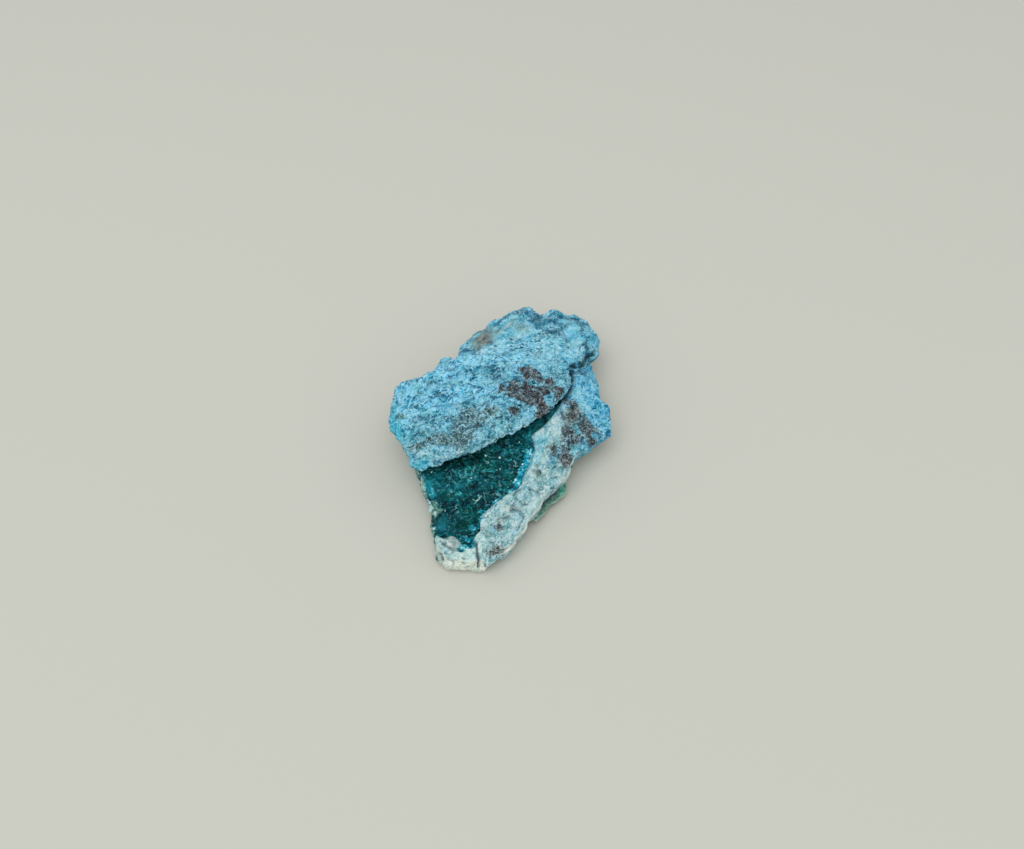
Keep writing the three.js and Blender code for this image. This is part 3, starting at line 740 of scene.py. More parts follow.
def rear_finish(p, side, turn):
    """Lumpy crust: grains 0.16 mm high, pits 0.25 mm deep, a few cracks and a ridge."""
    up = side > 0
    near = wandering(p, 0.6, 220)
    olive = patches(near, REAR_OLIVE) * up
    pits = pitted(p, 211, 0.08 + 0.3 * olive)
    cracks = near_lines(wandering(p, 0.5, 217), [SEAM, *REAR_CRACKS], 0.17) * up
    ridge = near_lines(wandering(p, 0.4, 218), [FACET_RIDGE], 0.45) * up
    crest = crested(p, 1.3, 1.6, 215)
    grit = 0.06 * rough(p, 0.5, 216, 2, ridges=True)
    crumbly = 0.3 * rough(p, 1.3, 212) * smooth(0.2, 0.8, turn)
    relief = 0.16 * crest + grit + crumbly - 0.25 * pits - 0.35 * cracks + 0.22 * ridge
    low_side = smooth(8, 11, p[..., 0]) * smooth(17, 14, p[..., 1])
    low_side = low_side * smooth(-0.9, 0.1, rough(p, 0.9, 213))
    bare = smooth(0.25, 0.6, patches(wandering(p, 0.5, 222), REAR_FACET)) * up
    values = {
        "brown": patches(near, REAR_BROWN) * up,
        "smear": patches(wandering(p, 0.3, 223), REAR_BROWN) * up,
        "haze": patches(near, REAR_HAZE) * up,
        "olive": olive,
        "pale": 0.7 * ridge + 0.3 * patches(p, REAR_PALE),
        "deep": patches(near, REAR_DARK_AND_SHADE),
        "bare": bare,
        "calm": np.maximum(0.8 * bare, 0.55 * patches(near, REAR_CALM)),
        "speckled": np.maximum(olive, 0.5 * patches(near, REAR_DARK_AND_SHADE)),
        # Pits and cracks are painted dark: painted shade in the hollows.
        "pit_shade": np.maximum(pits, cracks),
        "shade": (
            0.95 * low_side * smooth(0.5, 0.8, turn) if up else 0.5 * smooth(1.0, 0.7, turn)
        ),
        "crest": crest,
    }
    return relief, values


def band_finish(p, side, turn):
    """
    A rough lobe with grains 0.16 mm high, and a smoother tongue with grains 0.08 mm high,
    fine cracks and a rim painted pale: a painted highlight where its edge catches the light.
    fine cracks and a pale rim.
    """
    up = side > 0
    x, y = p[..., 0], p[..., 1]
    past_edge = past_band_edge(x, y)
    tongue = np.maximum(smooth(-6, -11, y), smooth(5, 2.5, past_edge) * smooth(2, -2, y))
    near = wandering(p, 0.6, 230)
    olive = patches(near, BAND_OLIVE) * (1 - 0.4 * tongue) * up
    brown = patches(near, BAND_BROWN) * (1 - 0.15 * tongue) * up
    pits = pitted(p, 221, 0.02 + 0.3 * olive + 0.3 * brown)
    cracks = near_lines(wandering(p, 0.25, 227), TONGUE_CRACKS, 0.13) * up
    fissures = near_lines(wandering(p, 0.3, 228), [RIGHT_FISSURE], 0.12) * up
    crest = crested(p, 1.2, 1.4, 225)
    grit = (0.07 - 0.03 * tongue) * rough(p, 0.5, 226, 2, ridges=True)
    relief = (0.16 - 0.08 * tongue) * crest + grit - 0.2 * pits - 0.35 * cracks - 0.4 * fissures
    # The rim is painted white: a painted highlight where the tongue's edge catches the light.
    rim = smooth(0.5, 0.8, turn + 0.12 * rough(p, 1.1, 233))
    rim = rim * smooth(2.5, 4.0, past_edge) * smooth(-6, -9, y)
    inner = smooth(2.3, 1.3, past_band_edge(near[..., 0], near[..., 1]))
    values = {
        "brown": brown,
        "olive": olive,
        "pale": tongue,
        "deep": patches(near, BAND_DOTS),
        "speckled": np.maximum(0.8 * olive, 0.15 * tongue),
        # Pits and cracks are painted dark: painted shade in the hollows.
        "pit_shade": np.maximum(0.7 * pits, cracks),
        "shade": np.maximum(
            near_lines(wandering(p, 0.3, 224), [PLATE_END], 0.55) * up, fissures
        ),
        "crest": crest,
        "rim": rim * (1.0 if up else 0.7 * smooth(0.8, 0.95, turn)),
        "turquoise": inner * smooth(-13.5, -11.5, y) * smooth(-3, -5, y) * up,
        "calm": 0.25 * tongue,
    }
    return relief, values


def heart_finish(p, side, turn):
    """
    On the bare face, crystal facets 1.2, 0.6 and 0.33 mm wide, the widest 0.3 mm high. On
    the flanks and the underside, broken grains 0.22 mm high.
    """
    up = side > 0
    x, y = p[..., 0], p[..., 1]
    low_left = smooth(-7, -9, x) * smooth(-9, -10.5, y)
    bare = (1 - smooth(0.55 + 0.25 * low_left, 0.9 + 0.09 * low_left, turn)) * up
    left = low_left * smooth(-22, -20.5, y)
    skin = np.maximum(bare, left * (1.0 if up else 0.85 * smooth(0.5, 0.8, turn)))
    skin = skin * (1 - smooth(-8.2, -8.8, x) * smooth(-20.9, -21.5, y))
    facet = cells(p, 0.6, 310, CRYSTAL_BEVEL)
    crystals = 0.3 * cells(p, 1.2, 300, CRYSTAL_BEVEL) + 0.2 * facet
    crystals = crystals + 0.09 * cells(p, 0.33, 320, 0.8 * CRYSTAL_BEVEL)
    grain = 0.5 * rough(p, 1.6, 305) + 0.5 * rough(p, 1.8, 306, ridges=True)
    flat = 1.0 if up else smooth(0.02, 0.3, p[..., 2])
    relief = bare * crystals + (1 - bare) * 0.22 * grain * flat
    # The camera sees the face in under the ledge, whose lip is 1 mm below the plate's top,
    # as far as shade_reach. The last 0.8 mm of that are painted dark as the ledge's shadow, from a
    # ragged line inwards.
    shade_reach = (plate_top(x, y) - 1 - heart_top(x, y)) / math.tan(CAMERA_RISE)
    shade_reach = shade_reach + 0.35 * rough(p, 1.1, 308)
    turquoise = np.max([
        0.6 * near_lines(p, [FACE_EDGE_HIGH], 0.6), near_lines(p, [FACE_EDGE_MID], 1.1),
        0.65 * near_lines(p, [FACE_EDGE_LOW], 0.5), 0.7 * near_lines(p, [FACE_EDGE_LEFT], 0.6),
        0.7 * patches(p, FACE_TURQUOISE),
    ], axis=0)
    values = {
        "bare": skin,
        "turquoise": turquoise * skin,
        "cream": patches(p, FLANK_CREAM),
        "edge": np.maximum(
            0.8 * near_lines(wandering(p, 0.7, 309), [LEFT_RIM], 0.4),
            patches(wandering(p, 0.5, 312), FACE_CREAM),
        ),
        "shade": smooth(shade_reach - 0.8, shade_reach - 0.2, in_from_ledge(x, y))
        * (1 - 0.8 * patches(p, FACE_TEAL)) * up,
        # The facet relief, kept for the finish's painted facet glints, lowered towards the low end,
        # which darkens it there.
        "facet": facet - 0.9 * smooth(-13, -17, y),
        "tealish": patches(wandering(p, 0.8, 311), FACE_TEAL),
    }
    return relief, values


def block_finish(p, side, _turn):
    """
    Crumbly pale vein stuff: grains 0.16 mm high, pits 0.25 mm deep, a smooth chip and a
    fissure 0.4 mm deep.
    """
    up = side > 0
    chip = smooth(0.35, 0.5, patches(wandering(p, 0.6, 236), BLOCK_CHIP)) * up
    pits = pitted(p, 231, 0.1) * (1 - chip)
    crest = crested(p, 1.2, 1.3, 235)
    teal = smooth(0.3, 0.6, patches(wandering(p, 0.6, 237), BLOCK_TEAL)) * (1 - chip) * up
    fissures = near_lines(wandering(p, 0.3, 228), [LEFT_FISSURE], 0.2) * up
    relief = (0.16 - 0.1 * chip) * crest - 0.25 * pits + 0.12 * (chip - teal) - 0.4 * fissures
    line = np.array(BLOCK_DUSK)[::-1]
    near = wandering(p, 0.5, 240)
    past = near[..., 1] - np.interp(near[..., 0], line[:, 0], line[:, 1])
    values = {
        "pale": smooth(3.4, 2.8, p[..., 2]) * smooth(-10.2, -8.4, p[..., 0]),
        "dusk": smooth(-0.1, 0.15, past) * (p[..., 0] < -3.4) * up,
        "teal": teal,
        "chip": chip,
        # Pits are painted dark: painted shade in the hollows.
        "pit_shade": 0.6 * pits,
        "shade": np.maximum(
            fissures, 0.7 * near_lines(wandering(p, 0.3, 241), [BLOCK_LINE], 0.22) * up
        ),
        "crest": crest,
        "calm": np.maximum(chip, 0.6),
    }
    return relief, values


def sliver_finish(p, _side, turn):
    """Smooth vein: ripples 0.05 mm high, and a core ringed by a dark line."""
    crest = rough(p, 1.0, 245)
    values = {
        "pale": 0.5 * smooth(0.6, 0.95, turn),
        "core": smooth(0.55, 0.4, turn) * smooth(9.9, 9.3, p[..., 0]),
        "shade": np.maximum(
            near_lines(p, [SLIVER_GAP], 0.4),
            0.7 * np.exp(-(((turn - 0.5) / 0.06) ** 2)) * smooth(9.9, 9.3, p[..., 0]),
        ),
        "crest": crest,
        "calm": 0.9 + 0 * turn,
    }
    return 0.05 * crest, values


# ---- Small pieces


def crumb_surface(x, y, z, size, seed):
    """
    A lumpy ball on a grid of turns and heights, closed by one point at each pole: a sphere
    stretched to 1.5 by 0.8 by 0.6 and turned in plan, its radius swelled by facets.
    """
    rows, columns = 8, 10
    tilt = np.linspace(0, math.pi, rows + 1)[1:-1, None]
    turn = np.linspace(0, 2 * math.pi, columns, endpoint=False)[None, :]
    directions = (np.sin(tilt) * np.cos(turn), np.sin(tilt) * np.sin(turn), np.cos(tilt))
    ball = np.stack(np.broadcast_arrays(*directions), -1).reshape(-1, 3)
    ball = np.concatenate([[(0, 0, 1)], ball, [(0, 0, -1)]]) * size
    swell = 0.85 + 0.3 * noise(*(ball / size).T, seed) + 0.5 * cells(ball / size, 0.9, seed, 20)
    points = ball * swell[:, None] * (1.5, 0.8, 0.6)
    cos, sin = math.cos(1.7 * seed), math.sin(1.7 * seed)
    points = points @ np.array([[cos, sin, 0], [-sin, cos, 0], [0, 0, 1]]) + (x, y, z)
    start = 1 + np.arange(rows - 2)[:, None] * columns
    near, far = np.arange(columns)[None, :], (np.arange(columns)[None, :] + 1) % columns
    corners = (start + near, start + columns + near, start + columns + far, start + far)
    quads = np.stack(corners, -1)
    last = len(points) - 1
    top = np.stack([0 * near, 1 + near, 1 + far], -1).reshape(-1, 3)
    foot = last - columns
    bottom = np.stack([0 * near + last, foot + far, foot + near], -1).reshape(-1, 3)
    return points, [*quads.reshape(-1, 4).tolist(), *top.tolist(), *bottom.tolist()]


def join_surfaces(surfaces):
    """Several surfaces as one list of points and one of faces."""
    points, faces, start = [], [], 0
    for more_points, more_faces in surfaces:
        points.append(more_points)
        faces += [[start + corner for corner in face] for face in more_faces]
        start += len(more_points)
    return np.concatenate(points), faces


def spark_surface(x, y, z, size, tip):
    """
    A double pyramid of six sides, as quartz grows: two points, and between them a ring 0.55
    times as far out as they are. It is tipped over about y.
    """
    turn = np.arange(6) * math.pi / 3
    ring = np.stack([np.cos(turn), np.sin(turn), 0 * turn], -1) * 0.55
    points = np.concatenate([[(0, 0, 1)], ring, [(0, 0, -1)]]) * size
    lean = np.array([
        [math.cos(tip), 0, math.sin(tip)], [0, 1, 0], [-math.sin(tip), 0, math.cos(tip)],
    ])
    faces = [[0, 1 + n, 1 + (n + 1) % 6] for n in range(6)]
    faces += [[7, 1 + (n + 1) % 6, 1 + n] for n in range(6)]
    return points @ lean.T + (x, y, z), faces


heart = lump("teal_heart", HEART, heart_finish)
plate = lump("big_plate", PLATE, plate_finish)
rear = lump("rear_crust", REAR, rear_finish)
band = lump("side_crust", BAND, band_finish)
block = lump("pale_block", BLOCK, block_finish)
sliver = lump("green_sliver", SLIVER, sliver_finish)

# Crumbs along the heart's left edge, then one behind the plate: x, y, z and size
CRUMBS = [
    (-12.4, -11.7, 4.0, 0.35), (-11.7, -13.6, 3.7, 0.3), (-10.9, -15.2, 3.4, 0.5),
    (-10.6, -16.1, 3.3, 0.6), (-10.0, -17.1, 3.1, 0.45), (-9.6, -16.5, 3.5, 0.3),
    (-10.0, -19.6, 2.8, 0.35), (-10.1, 9.9, 8.8, 0.5),
]
crumbs = add_piece(
    "crust_crumbs",
    *join_surfaces([crumb_surface(*crumb, 90 + n) for n, crumb in enumerate(CRUMBS)]),
)

# Single crystals that glint on the bare face: x, y and size
SPARKS = [
    (-2.3, -7.3, 0.34), (0.0, -7.7, 0.38), (3.7, -9.2, 0.3), (0.1, -9.7, 0.22),
    (-11.0, -10.1, 0.26), (-7.6, -9.9, 0.26), (-3.4, -15.3, 0.2), (-4.5, -11.8, 0.2),
    (-9.8, -13.3, 0.18), (3.2, -5.0, 0.2), (-9.4, -20.6, 0.2), (5.4, -4.3, 0.22),
    (-8.5, -17.0, 0.15), (-1.2, -13.4, 0.15),
]


def spark_settings():
    """
    Each spark's place, size and tip. It stands on the heart, at the height of the nearest
    point of its upper sheet.
    """
    points = np.empty(3 * len(heart.data.vertices))
    heart.data.vertices.foreach_get("co", points)
    points = points.reshape(-1, 3) / MM + MIDDLE
    points = points[: len(points) // 2]
    for n, (x, y, size) in enumerate(SPARKS):
        nearest = np.argmin((points[:, 0] - x) ** 2 + (points[:, 1] - y) ** 2)
        tip = -0.5 + 0.37 * (n * 7 % 5)
        yield x, y, points[nearest, 2] + 0.3 * size, size, tip


sparks = add_piece(
    "quartz_sparks", *join_surfaces([spark_surface(*setting) for setting in spark_settings()]), False
)

# ---- Finishes

NOISE, RANGE, MATH, MIX, RAMP = (
    "ShaderNodeTexNoise", "ShaderNodeMapRange", "ShaderNodeMath", "ShaderNodeMix",
    "ShaderNodeValToRGB",
)


def colour(code):
    """A linear colour from an sRGB hex code."""
    parts = [int(code[n : n + 2], 16) / 255 for n in (1, 3, 5)]
    linear = [c / 12.92 if c <= 0.04045 else ((c + 0.055) / 1.055) ** 2.4 for c in parts]
    return (*linear, 1.0)


DULL_SHEEN = {"Specular IOR Level": 0.08}
QUARTZ_IOR = {"IOR": 1.54}


def add(tree, kind, inputs, out=0, stops=None, **settings):
    """
    Adds a node and gives one of its outputs, or none where out is None. Each input is a
    value, a hex colour, or another node's output, which is linked. Stops are a colour ramp's
    positions and hex colours.
    """
    made = tree.nodes.new(kind)
    for key, value in settings.items():
        setattr(made, key, value)
    for key, value in inputs.items():
        if isinstance(value, bpy.types.NodeSocket):
            tree.links.new(value, made.inputs[key])
        else:
            made.inputs[key].default_value = colour(value) if isinstance(value, str) else value
    for n, (position, code) in enumerate(stops or []):
        ramp = made.color_ramp.elements
        stop = ramp[n] if n < 2 else ramp.new(position)
        stop.position, stop.color = position, colour(code)
    return None if out is None else made.outputs[out]


def mottle(tree, size, low, high, seed, detail=4, broken=0.6, twist=0.0, turn=0.0, drawn=1.0):
    """
    A pattern from 0 to 1, in millimetres: noise spread out from low to high. Twist curls it,
    and it is drawn out so many times along a turned direction in plan.
    """
    place = add(
        tree, "ShaderNodeMapping",
        {"Vector": add(tree, "ShaderNodeTexCoord", {}, "Object"), "Rotation": (0, 0, turn),
         "Scale": (drawn, 1, 1)},
        vector_type="TEXTURE",
    )
    field = add(
        tree, NOISE,
        {"Vector": place, "W": seed, "Scale": 1 / (size * MM), "Detail": detail,
         "Roughness": broken, "Distortion": twist},
        noise_dimensions="4D",
    )
    return add(tree, RANGE, {"Value": field, "From Min": low, "From Max": high})


def weighed(tree, total, *parts):
    """A total with parts added to it, each times its weight."""
    for part, weight in parts:
        total = add(tree, MATH, {0: part, 1: weight, 2: total}, operation="MULTIPLY_ADD")
    return total


def curls(tree, size, width, seed):
    """Thin curling lines, 1 along the line where noise passes one half, in millimetres."""
    field = weighed(tree, -0.5, (mottle(tree, size, 0, 1, seed, 2, 0.55, 0.8), 1.0))
    away = add(tree, MATH, {0: field}, operation="ABSOLUTE")
    return add(tree, RANGE, {"Value": away, "From Max": width, "To Min": 1, "To Max": 0})


def layered(tree, base, layers):
    """Lays colours over a base in turn, each by the product of its shares."""
    for over, strength, *shares in layers:
        for share in shares:
            strength = add(
                tree, MATH, {0: strength, 1: share}, operation="MULTIPLY", use_clamp=True
            )
        base = add(tree, MIX, {0: strength, 6: base, 7: over}, 2, data_type="RGBA")
    return base


def kept_values(tree, *names):
    """Values kept on the piece's points by name. One that a piece doesn't have reads as 0."""
    return [
        add(tree, "ShaderNodeAttribute", {}, "Fac", attribute_name=name) for name in names
    ]


def stained(tree, stain, size, seed, reach, blur):
    """A stain's ragged patch: 1 where its value and noise together pass a threshold."""
    both = weighed(tree, stain, (mottle(tree, size, 0.3, 0.7, seed, 6, 0.66, 0.5), 0.8))
    return add(tree, RANGE, {"Value": both, "From Min": reach, "From Max": reach + blur})


def start_material(name):
    """A material with no nodes yet."""
    material = bpy.data.materials.new(name)
    material.use_nodes = True
    material.node_tree.nodes.clear()
    return material, material.node_tree


def finish_material(tree, base, dullness, bump_height, bump_mm, **settings):
    """The surface: its colour, its roughness and a fine bump."""
    normal = add(
        tree, "ShaderNodeBump",
        {"Height": bump_height, "Strength": 1.0, "Distance": bump_mm * MM},
    )
    shader = add(
        tree, "ShaderNodeBsdfPrincipled",
        {"Base Color": base, "Roughness": dullness, "Normal": normal, **settings},
    )
    add(tree, "ShaderNodeOutputMaterial", {"Surface": shader}, None)


EVEN = (0.3, 0.5, 0.7)
CLOSE = (0.3, 0.4, 0.48, 0.56, 0.68)


def tones(codes, places=CLOSE):
    """A colour ramp's stops: hex colours from dark to light, each with its place."""
    return list(zip(places, codes.split()))


OLIVE_SPECKS = tones("#0B2227 #2F4848 #5F766F #86988F #B2CABE", (0.12, 0.36, 0.56, 0.76, 0.94))
BROWN_SPECKS = tones("#0A080B #241B1B #4A3B37 #7C6F69 #A6BCC4", (0.12, 0.4, 0.6, 0.78, 0.95))


def crust_material(name, ramp, pale_ramp, turn, lively, rust, extra=()):
    """
    Earthy crust, which is fine chrysocolla and clay: dull, and mottled at every size from
    3 mm to 0.2 mm, with thin dark and pale curls, rust-brown specks and olive stains. Lively
    scales the finest contrast, which also comes and goes in zones 2 mm wide. Each extra is a
    kept value's name, a strength and the tones that it lays over the rest.
    """
    material, tree = start_material(name)
    calm, crest, deep, pale, speckled, pit_shade, brown, olive, shade = kept_values(
        tree, "calm", "crest", "deep", "pale", "speckled", "pit_shade", "brown", "olive", "shade"
    )
    clouds = mottle(tree, 2.6, 0.3, 0.7, 1.0, 4, 0.6, 0.3, turn, 1.8)
    grains = mottle(tree, 0.7, 0.2, 0.8, 2.0, 4, 0.66, 1.2, turn, 1.4)
    specks = mottle(tree, 0.42, 0.34, 0.66, 3.0, 3, 0.7, 1.2)
    zones = mottle(tree, 1.8, 0.36, 0.64, 15.0, 3, 0.5, 0.5, turn, 1.5)
    alive = add(tree, RANGE, {"Value": calm, "To Min": 1.0, "To Max": 0.15})
    contrast = weighed(tree, 0.4 * lively, (zones, 1.2 * lively))
    contrast = add(tree, MATH, {0: contrast, 1: alive}, operation="MULTIPLY")
    centred = weighed(tree, -0.5, (grains, 1.0))
    tone = weighed(
        tree, 0.4, (centred, contrast), (clouds, 0.3), (crest, 0.07), (deep, -0.06)
    )
    earth, clay, olive_specks, brown_specks = (
        add(tree, RAMP, {"Fac": field}, stops=stops)
        for field, stops in (
            (tone, ramp), (tone, pale_ramp), (specks, OLIVE_SPECKS), (specks, BROWN_SPECKS),
        )
    )
    base, dark, line, light = (
        add(tree, MIX, {0: pale, 6: vivid, 7: soft}, 2, data_type="RGBA")
        for vivid, soft in (
            (earth, clay), ("#0F4A5C", "#42696B"), ("#175E7A", "#4F7E84"), ("#A8E0F3", "#D3E6E4"),
        )
    )
    base = layered(tree, base, [
        ("#6FB5A6", 0.4, mottle(tree, 1.4, 0.5, 0.62, 17.0, 4, 0.6, 0.6, turn, 1.8), alive),
        ("#6CC0EA", 0.35, mottle(tree, 1.6, 0.5, 0.62, 18.0, 4, 0.6, 0.6, turn, 1.8), alive),
        ("#62A096", 0.5, speckled),
        ("#17567A", 0.7, stained(tree, deep, 1.1, 16.0, 0.66, 0.3)),
        (olive_specks, 0.92, stained(tree, olive, 1.3, 9.0, 0.66, 0.34)),
        # Painted shade: pits, cracks and seams are darkened.
        ("#154A5E", 0.7, pit_shade),
        (brown_specks, 0.95 * rust, stained(tree, brown, 1.0, 10.0, 0.64, 0.14)),
        (line, 0.85, curls(tree, 0.9, 0.06, 4.0), mottle(tree, 1.8, 0.44, 0.6, 5.0), alive),
        (light, 0.85, curls(tree, 1.0, 0.08, 6.0), mottle(tree, 1.6, 0.42, 0.56, 7.0), alive),
        (dark, 0.95, mottle(tree, 0.6, 0.55, 0.6, 11.0, 3, 0.6, 1.2, turn, 1.4),
         mottle(tree, 2.2, 0.42, 0.58, 19.0, 3, 0.5, 0.5, turn, 1.5), alive),
        ("#0C3540", 0.9, mottle(tree, 0.5, 0.5, 0.58, 14.0, 3, 0.65, 1.0), speckled),
        (light, 0.8, mottle(tree, 0.55, 0.6, 0.66, 12.0, 3, 0.6, 1.6), alive),
        (brown_specks, 0.6 * rust, stained(tree, brown, 1.6, 10.0, 0.76, 0.16)),
        *((add(tree, RAMP, {"Fac": grains}, stops=stops), strength,
           *kept_values(tree, key), mottle(tree, 0.5, 0.05, 0.4, 13.0))
          for key, strength, stops in extra),
        ("#0A242C", 0.92, shade),
    ])
    dullness = add(tree, RANGE, {"Value": specks, "To Min": 0.7, "To Max": 0.95})
    finish_material(tree, base, dullness, grains, 0.2, **DULL_SHEEN)
    return material


def heart_material():
    """
    Chrysocolla set in fine quartz: glassy crystal facets, dark teal with paler edges, and
    turquoise where it meets the side crust. Each facet's tone is partly a painted glint. Its broken
    flanks are duller and paler.
    """
    material, tree = start_material("drusy_chrysocolla")
    facet, tealish, turquoise, edge, shade, cream, bare = kept_values(
        tree, "facet", "tealish", "turquoise", "edge", "shade", "cream", "bare"
    )
    lie = math.radians(12)  # the druse's wisps rise a little to the right
    clouds = mottle(tree, 2.4, 0.3, 0.7, 21.0, 4, 0.6, 0.4, lie, 2.0)
    grains = mottle(tree, 0.8, 0.2, 0.8, 22.0, 4, 0.64, 2.2, lie, 1.8)
    crystals = add(
        tree, "ShaderNodeTexVoronoi",
        {"Vector": add(tree, "ShaderNodeTexCoord", {}, "Object"), "Scale": 1 / (0.6 * MM)},
        "Color",
    )
    # Tone varies with the facet relief and a random tone per 0.6 mm cell: partly the crystals' own
    # tone, partly painted glints of facets that catch the light.
    tone = weighed(
        tree, -0.2, (grains, 1.0), (clouds, 0.2), (facet, 0.07), (crystals, 0.14)
    )
    face, bright, pale, flank = (
        add(tree, RAMP, {"Fac": field}, stops=tones(codes, places))
        for field, codes, places in (
            (tone, "#001A1F #00383F #00545C #09767E #33A0A6 #A5DCDA",
             (0.32, 0.44, 0.54, 0.62, 0.72, 0.86)),
            (tone, "#067890 #1BA9C2 #5ACDDC #C4F2F2", (0.34, 0.48, 0.58, 0.7)),
            (tone, "#4F8C84 #93BDB0 #C3D6C8 #E9EFE2", (0.34, 0.48, 0.58, 0.7)),
            (grains, "#25636A #558F8F #80AFA8 #B2CDC0", (0.3, 0.44, 0.54, 0.68)),
        )
    )
    face = layered(tree, face, [
        ("#1B566C", 0.5, mottle(tree, 2.2, 0.5, 0.65, 23.0, 4, 0.6, 0.5, lie, 1.8)),
        ("#00584A", 0.4, mottle(tree, 3.0, 0.48, 0.62, 35.0, 4, 0.6, 0.5, lie, 1.8)),
        ("#27A6B4", 0.75, tealish, mottle(tree, 0.9, 0.35, 0.6, 38.0)),
        ("#2C9AA2", 0.6, curls(tree, 0.9, 0.04, 24.0), mottle(tree, 1.3, 0.48, 0.6, 25.0)),
        ("#8FD2D2", 0.8, curls(tree, 2.2, 0.018, 33.0), mottle(tree, 1.5, 0.5, 0.6, 34.0)),
        # Fine pale specks: painted glints of tiny crystals.
        ("#8AD6D8", 0.65, mottle(tree, 0.4, 0.64, 0.7, 30.0, 3)),
        (bright, 1.0, stained(tree, turquoise, 1.1, 26.0, 0.85, 0.2)),
        (pale, 0.95, stained(tree, edge, 0.9, 37.0, 0.8, 0.15)),
        ("#01161B", 0.95, shade),
    ])
    base = layered(tree, flank, [
        ("#D6E2D4", 0.8, cream, mottle(tree, 0.7, 0.2, 0.5, 36.0)),
        ("#14616B", 0.8, mottle(tree, 2.6, 0.52, 0.62, 27.0)),
        ("#6A5546", 0.8, mottle(tree, 2.2, 0.56, 0.66, 28.0)),
        ("#D9DFCF", 0.6, mottle(tree, 1.6, 0.58, 0.68, 29.0)),
        (face, 1.0, bare),
    ])
    dullness = add(tree, RANGE, {"Value": bare, "To Min": 0.85, "To Max": 0.4})
    finish_material(tree, base, dullness, grains, 0.2, **DULL_SHEEN, **QUARTZ_IOR)
    return material


def spark_material():
    """Clear quartz: glossy, so it catches real glints, and painted nearly white, which is a painted
    glint.
    """
    material, tree = start_material("quartz_with_painted_glint")
    base = layered(tree, "#B4E6EA", [("#EAFBFB", 1.0, mottle(tree, 0.2, 0.4, 0.6, 31.0))])
    finish_material(tree, base, 0.15, mottle(tree, 0.1, 0, 1, 32.0), 0.01, **QUARTZ_IOR)
    return material


BROAD = (0.28, 0.37, 0.45, 0.55, 0.7)
SKY = tones("#00486C #0F78A2 #46AACE #62BCDD #9EE2F7", BROAD)
LEDGE = tones("#2C7891 #50A0B8 #7ABED0 #96D0DC #CBECF3", BROAD)
REAR_TONES = tones("#085172 #1F82A6 #41A4C3 #64BEDA #AAE2F1")
LOBE = tones("#004A6C #0C769F #2492BA #3FA3C6 #84CEE6")
TONGUE = tones("#31707A #5D96A0 #7FB1BA #98C4CA #C8E2E4")
BLUE_CREAM = tones("#41848B #7AB2B4 #A2CBC8 #BDDCD5 #DFEEE4")
CREAM = tones("#93B5A0 #C4DBC8 #DDE9D9 #ECF2E5 #FBFBF2")
GREEN = tones("#0A4A38 #1A7056 #358A6E #66A58B #A8D0BE")

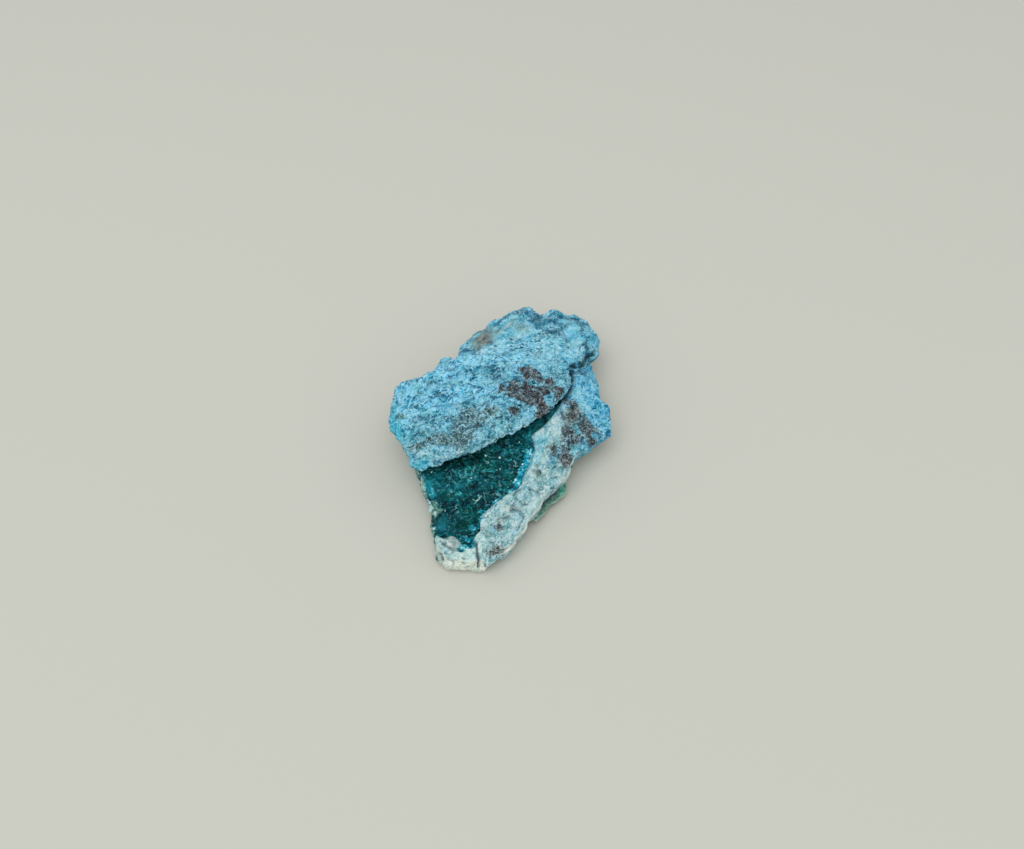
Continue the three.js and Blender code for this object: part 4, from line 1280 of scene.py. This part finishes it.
FINISHES = [
    (heart, heart_material()),
    # Earthy chrysocolla: vivid sky blue, streaked along the plate, with a painted highlight along
    # its ledge
    (plate, crust_material(
        "earthy_sky_blue_crust", SKY, LEDGE, PLATE_TURN, lively=1.4, rust=0.97,
        extra=[("teal", 0.75, tones("#07708A #1FA4BA #74D2DC", EVEN))],
    )),
    # The same earth, more even, with a bare grey facet that a brown smear crosses
    (rear, crust_material(
        "pale_rear_crust", REAR_TONES, LEDGE, math.radians(35), lively=0.85, rust=0.6,
        extra=[
            ("bare", 0.5, tones("#749CA2 #93B9BB #B4D4D4", EVEN)),
            ("smear", 0.75, tones("#453D39 #70665F #989690", EVEN)),
            ("haze", 0.6, tones("#58716C #7E938A #9FB4A8", EVEN)),
        ],
    )),
    # Chrysocolla with more clay in it: a blue lobe, and a chalky grey tongue, with a white painted
    # highlight along its rim
    (band, crust_material(
        "grey_blue_crust", LOBE, TONGUE, math.radians(60), lively=1.05, rust=0.68,
        extra=[
            ("turquoise", 0.45, tones("#1797B4 #4FBFD4 #A6E4EE", EVEN)),
            # The rim's tones are a painted highlight.
            ("rim", 0.9, tones("#C2CFC4 #DFE5DA #F4F5EC", (0.3, 0.45, 0.65))),
        ],
    )),
    # Vein clay: nearly white and crumbly, with bare teal above it and a smooth grey chip
    (block, crust_material(
        "cream_vein_stuff", BLUE_CREAM, CREAM, 0.0, lively=0.8, rust=0.0,
        extra=[
            ("teal", 1.0, tones("#003F4C #0B6C7E #2E9DAE #A0DCE0", (0.3, 0.44, 0.56, 0.7))),
            ("dusk", 1.0, tones("#00181D #00444C #0B6D75 #46A5A9", (0.36, 0.5, 0.62, 0.74))),
            ("chip", 0.85, tones("#6E8A8C #A0B4B2 #D2DDD8", EVEN)),
        ],
    )),
    # A splinter of green vein: even and dull, and greyer in its core
    (sliver, crust_material(
        "green_vein_glass", GREEN, CREAM, math.radians(55), lively=0.8, rust=0.0,
        extra=[("core", 0.85, tones("#2C4F48 #57776D #93AEA2", EVEN))],
    )),
    # Crumbs of the vein clay
    (crumbs, crust_material(
        "cream_crumb_stuff", BLUE_CREAM, CREAM, 0.0, lively=0.9, rust=0.0,
    )),
    (sparks, spark_material()),
]
for piece, material in FINISHES:
    piece.data.materials.append(material)

# ---- Floor and light, in metres

FLOOR_HALF = 2.0
WINDOW_PLACE = (-0.15, -0.35, 0.85)
WINDOW_SIZE = 1.0
WINDOW_POWER = 4.6
ROOM_STRENGTH = 0.74


def make_floor():
    """A plain pale sheet, dull as board."""
    mesh = bpy.data.meshes.new("floor")
    corners = [(-1, -1, 0), (1, -1, 0), (1, 1, 0), (-1, 1, 0)]
    mesh.from_pydata(np.array(corners) * FLOOR_HALF, [], [(0, 1, 2, 3)])
    floor = bpy.data.objects.new("floor", mesh)
    material, tree = start_material("pale_board")
    shader = add(
        tree, "ShaderNodeBsdfPrincipled", {"Base Color": "#C6C6BC", "Roughness": 0.9}
    )
    add(tree, "ShaderNodeOutputMaterial", {"Surface": shader}, None)
    mesh.materials.append(material)
    bpy.context.scene.collection.objects.link(floor)
    floor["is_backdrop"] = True


def make_window():
    """A square area light, which faces the stone."""
    data = bpy.data.lights.new("window", "AREA")
    data.size, data.energy = WINDOW_SIZE, WINDOW_POWER
    light = bpy.data.objects.new("window", data)
    light.location = WINDOW_PLACE
    light.rotation_euler = (-Vector(WINDOW_PLACE)).to_track_quat("-Z", "Y").to_euler()
    bpy.context.scene.collection.objects.link(light)


def make_room():
    """Even light from all round, nearly white."""
    room = bpy.data.worlds.new("room")
    room.use_nodes = True
    light = room.node_tree.nodes["Background"].inputs
    light["Color"].default_value = colour("#F6F7F8")
    light["Strength"].default_value = ROOM_STRENGTH
    bpy.context.scene.world = room


make_floor()
make_window()
make_room()
bpy.context.scene.view_settings.view_transform = "Standard"

boxes = {"cad": cad_box, "visual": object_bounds()}
{k: [list(corner) for corner in v] for k, v in boxes.items()}
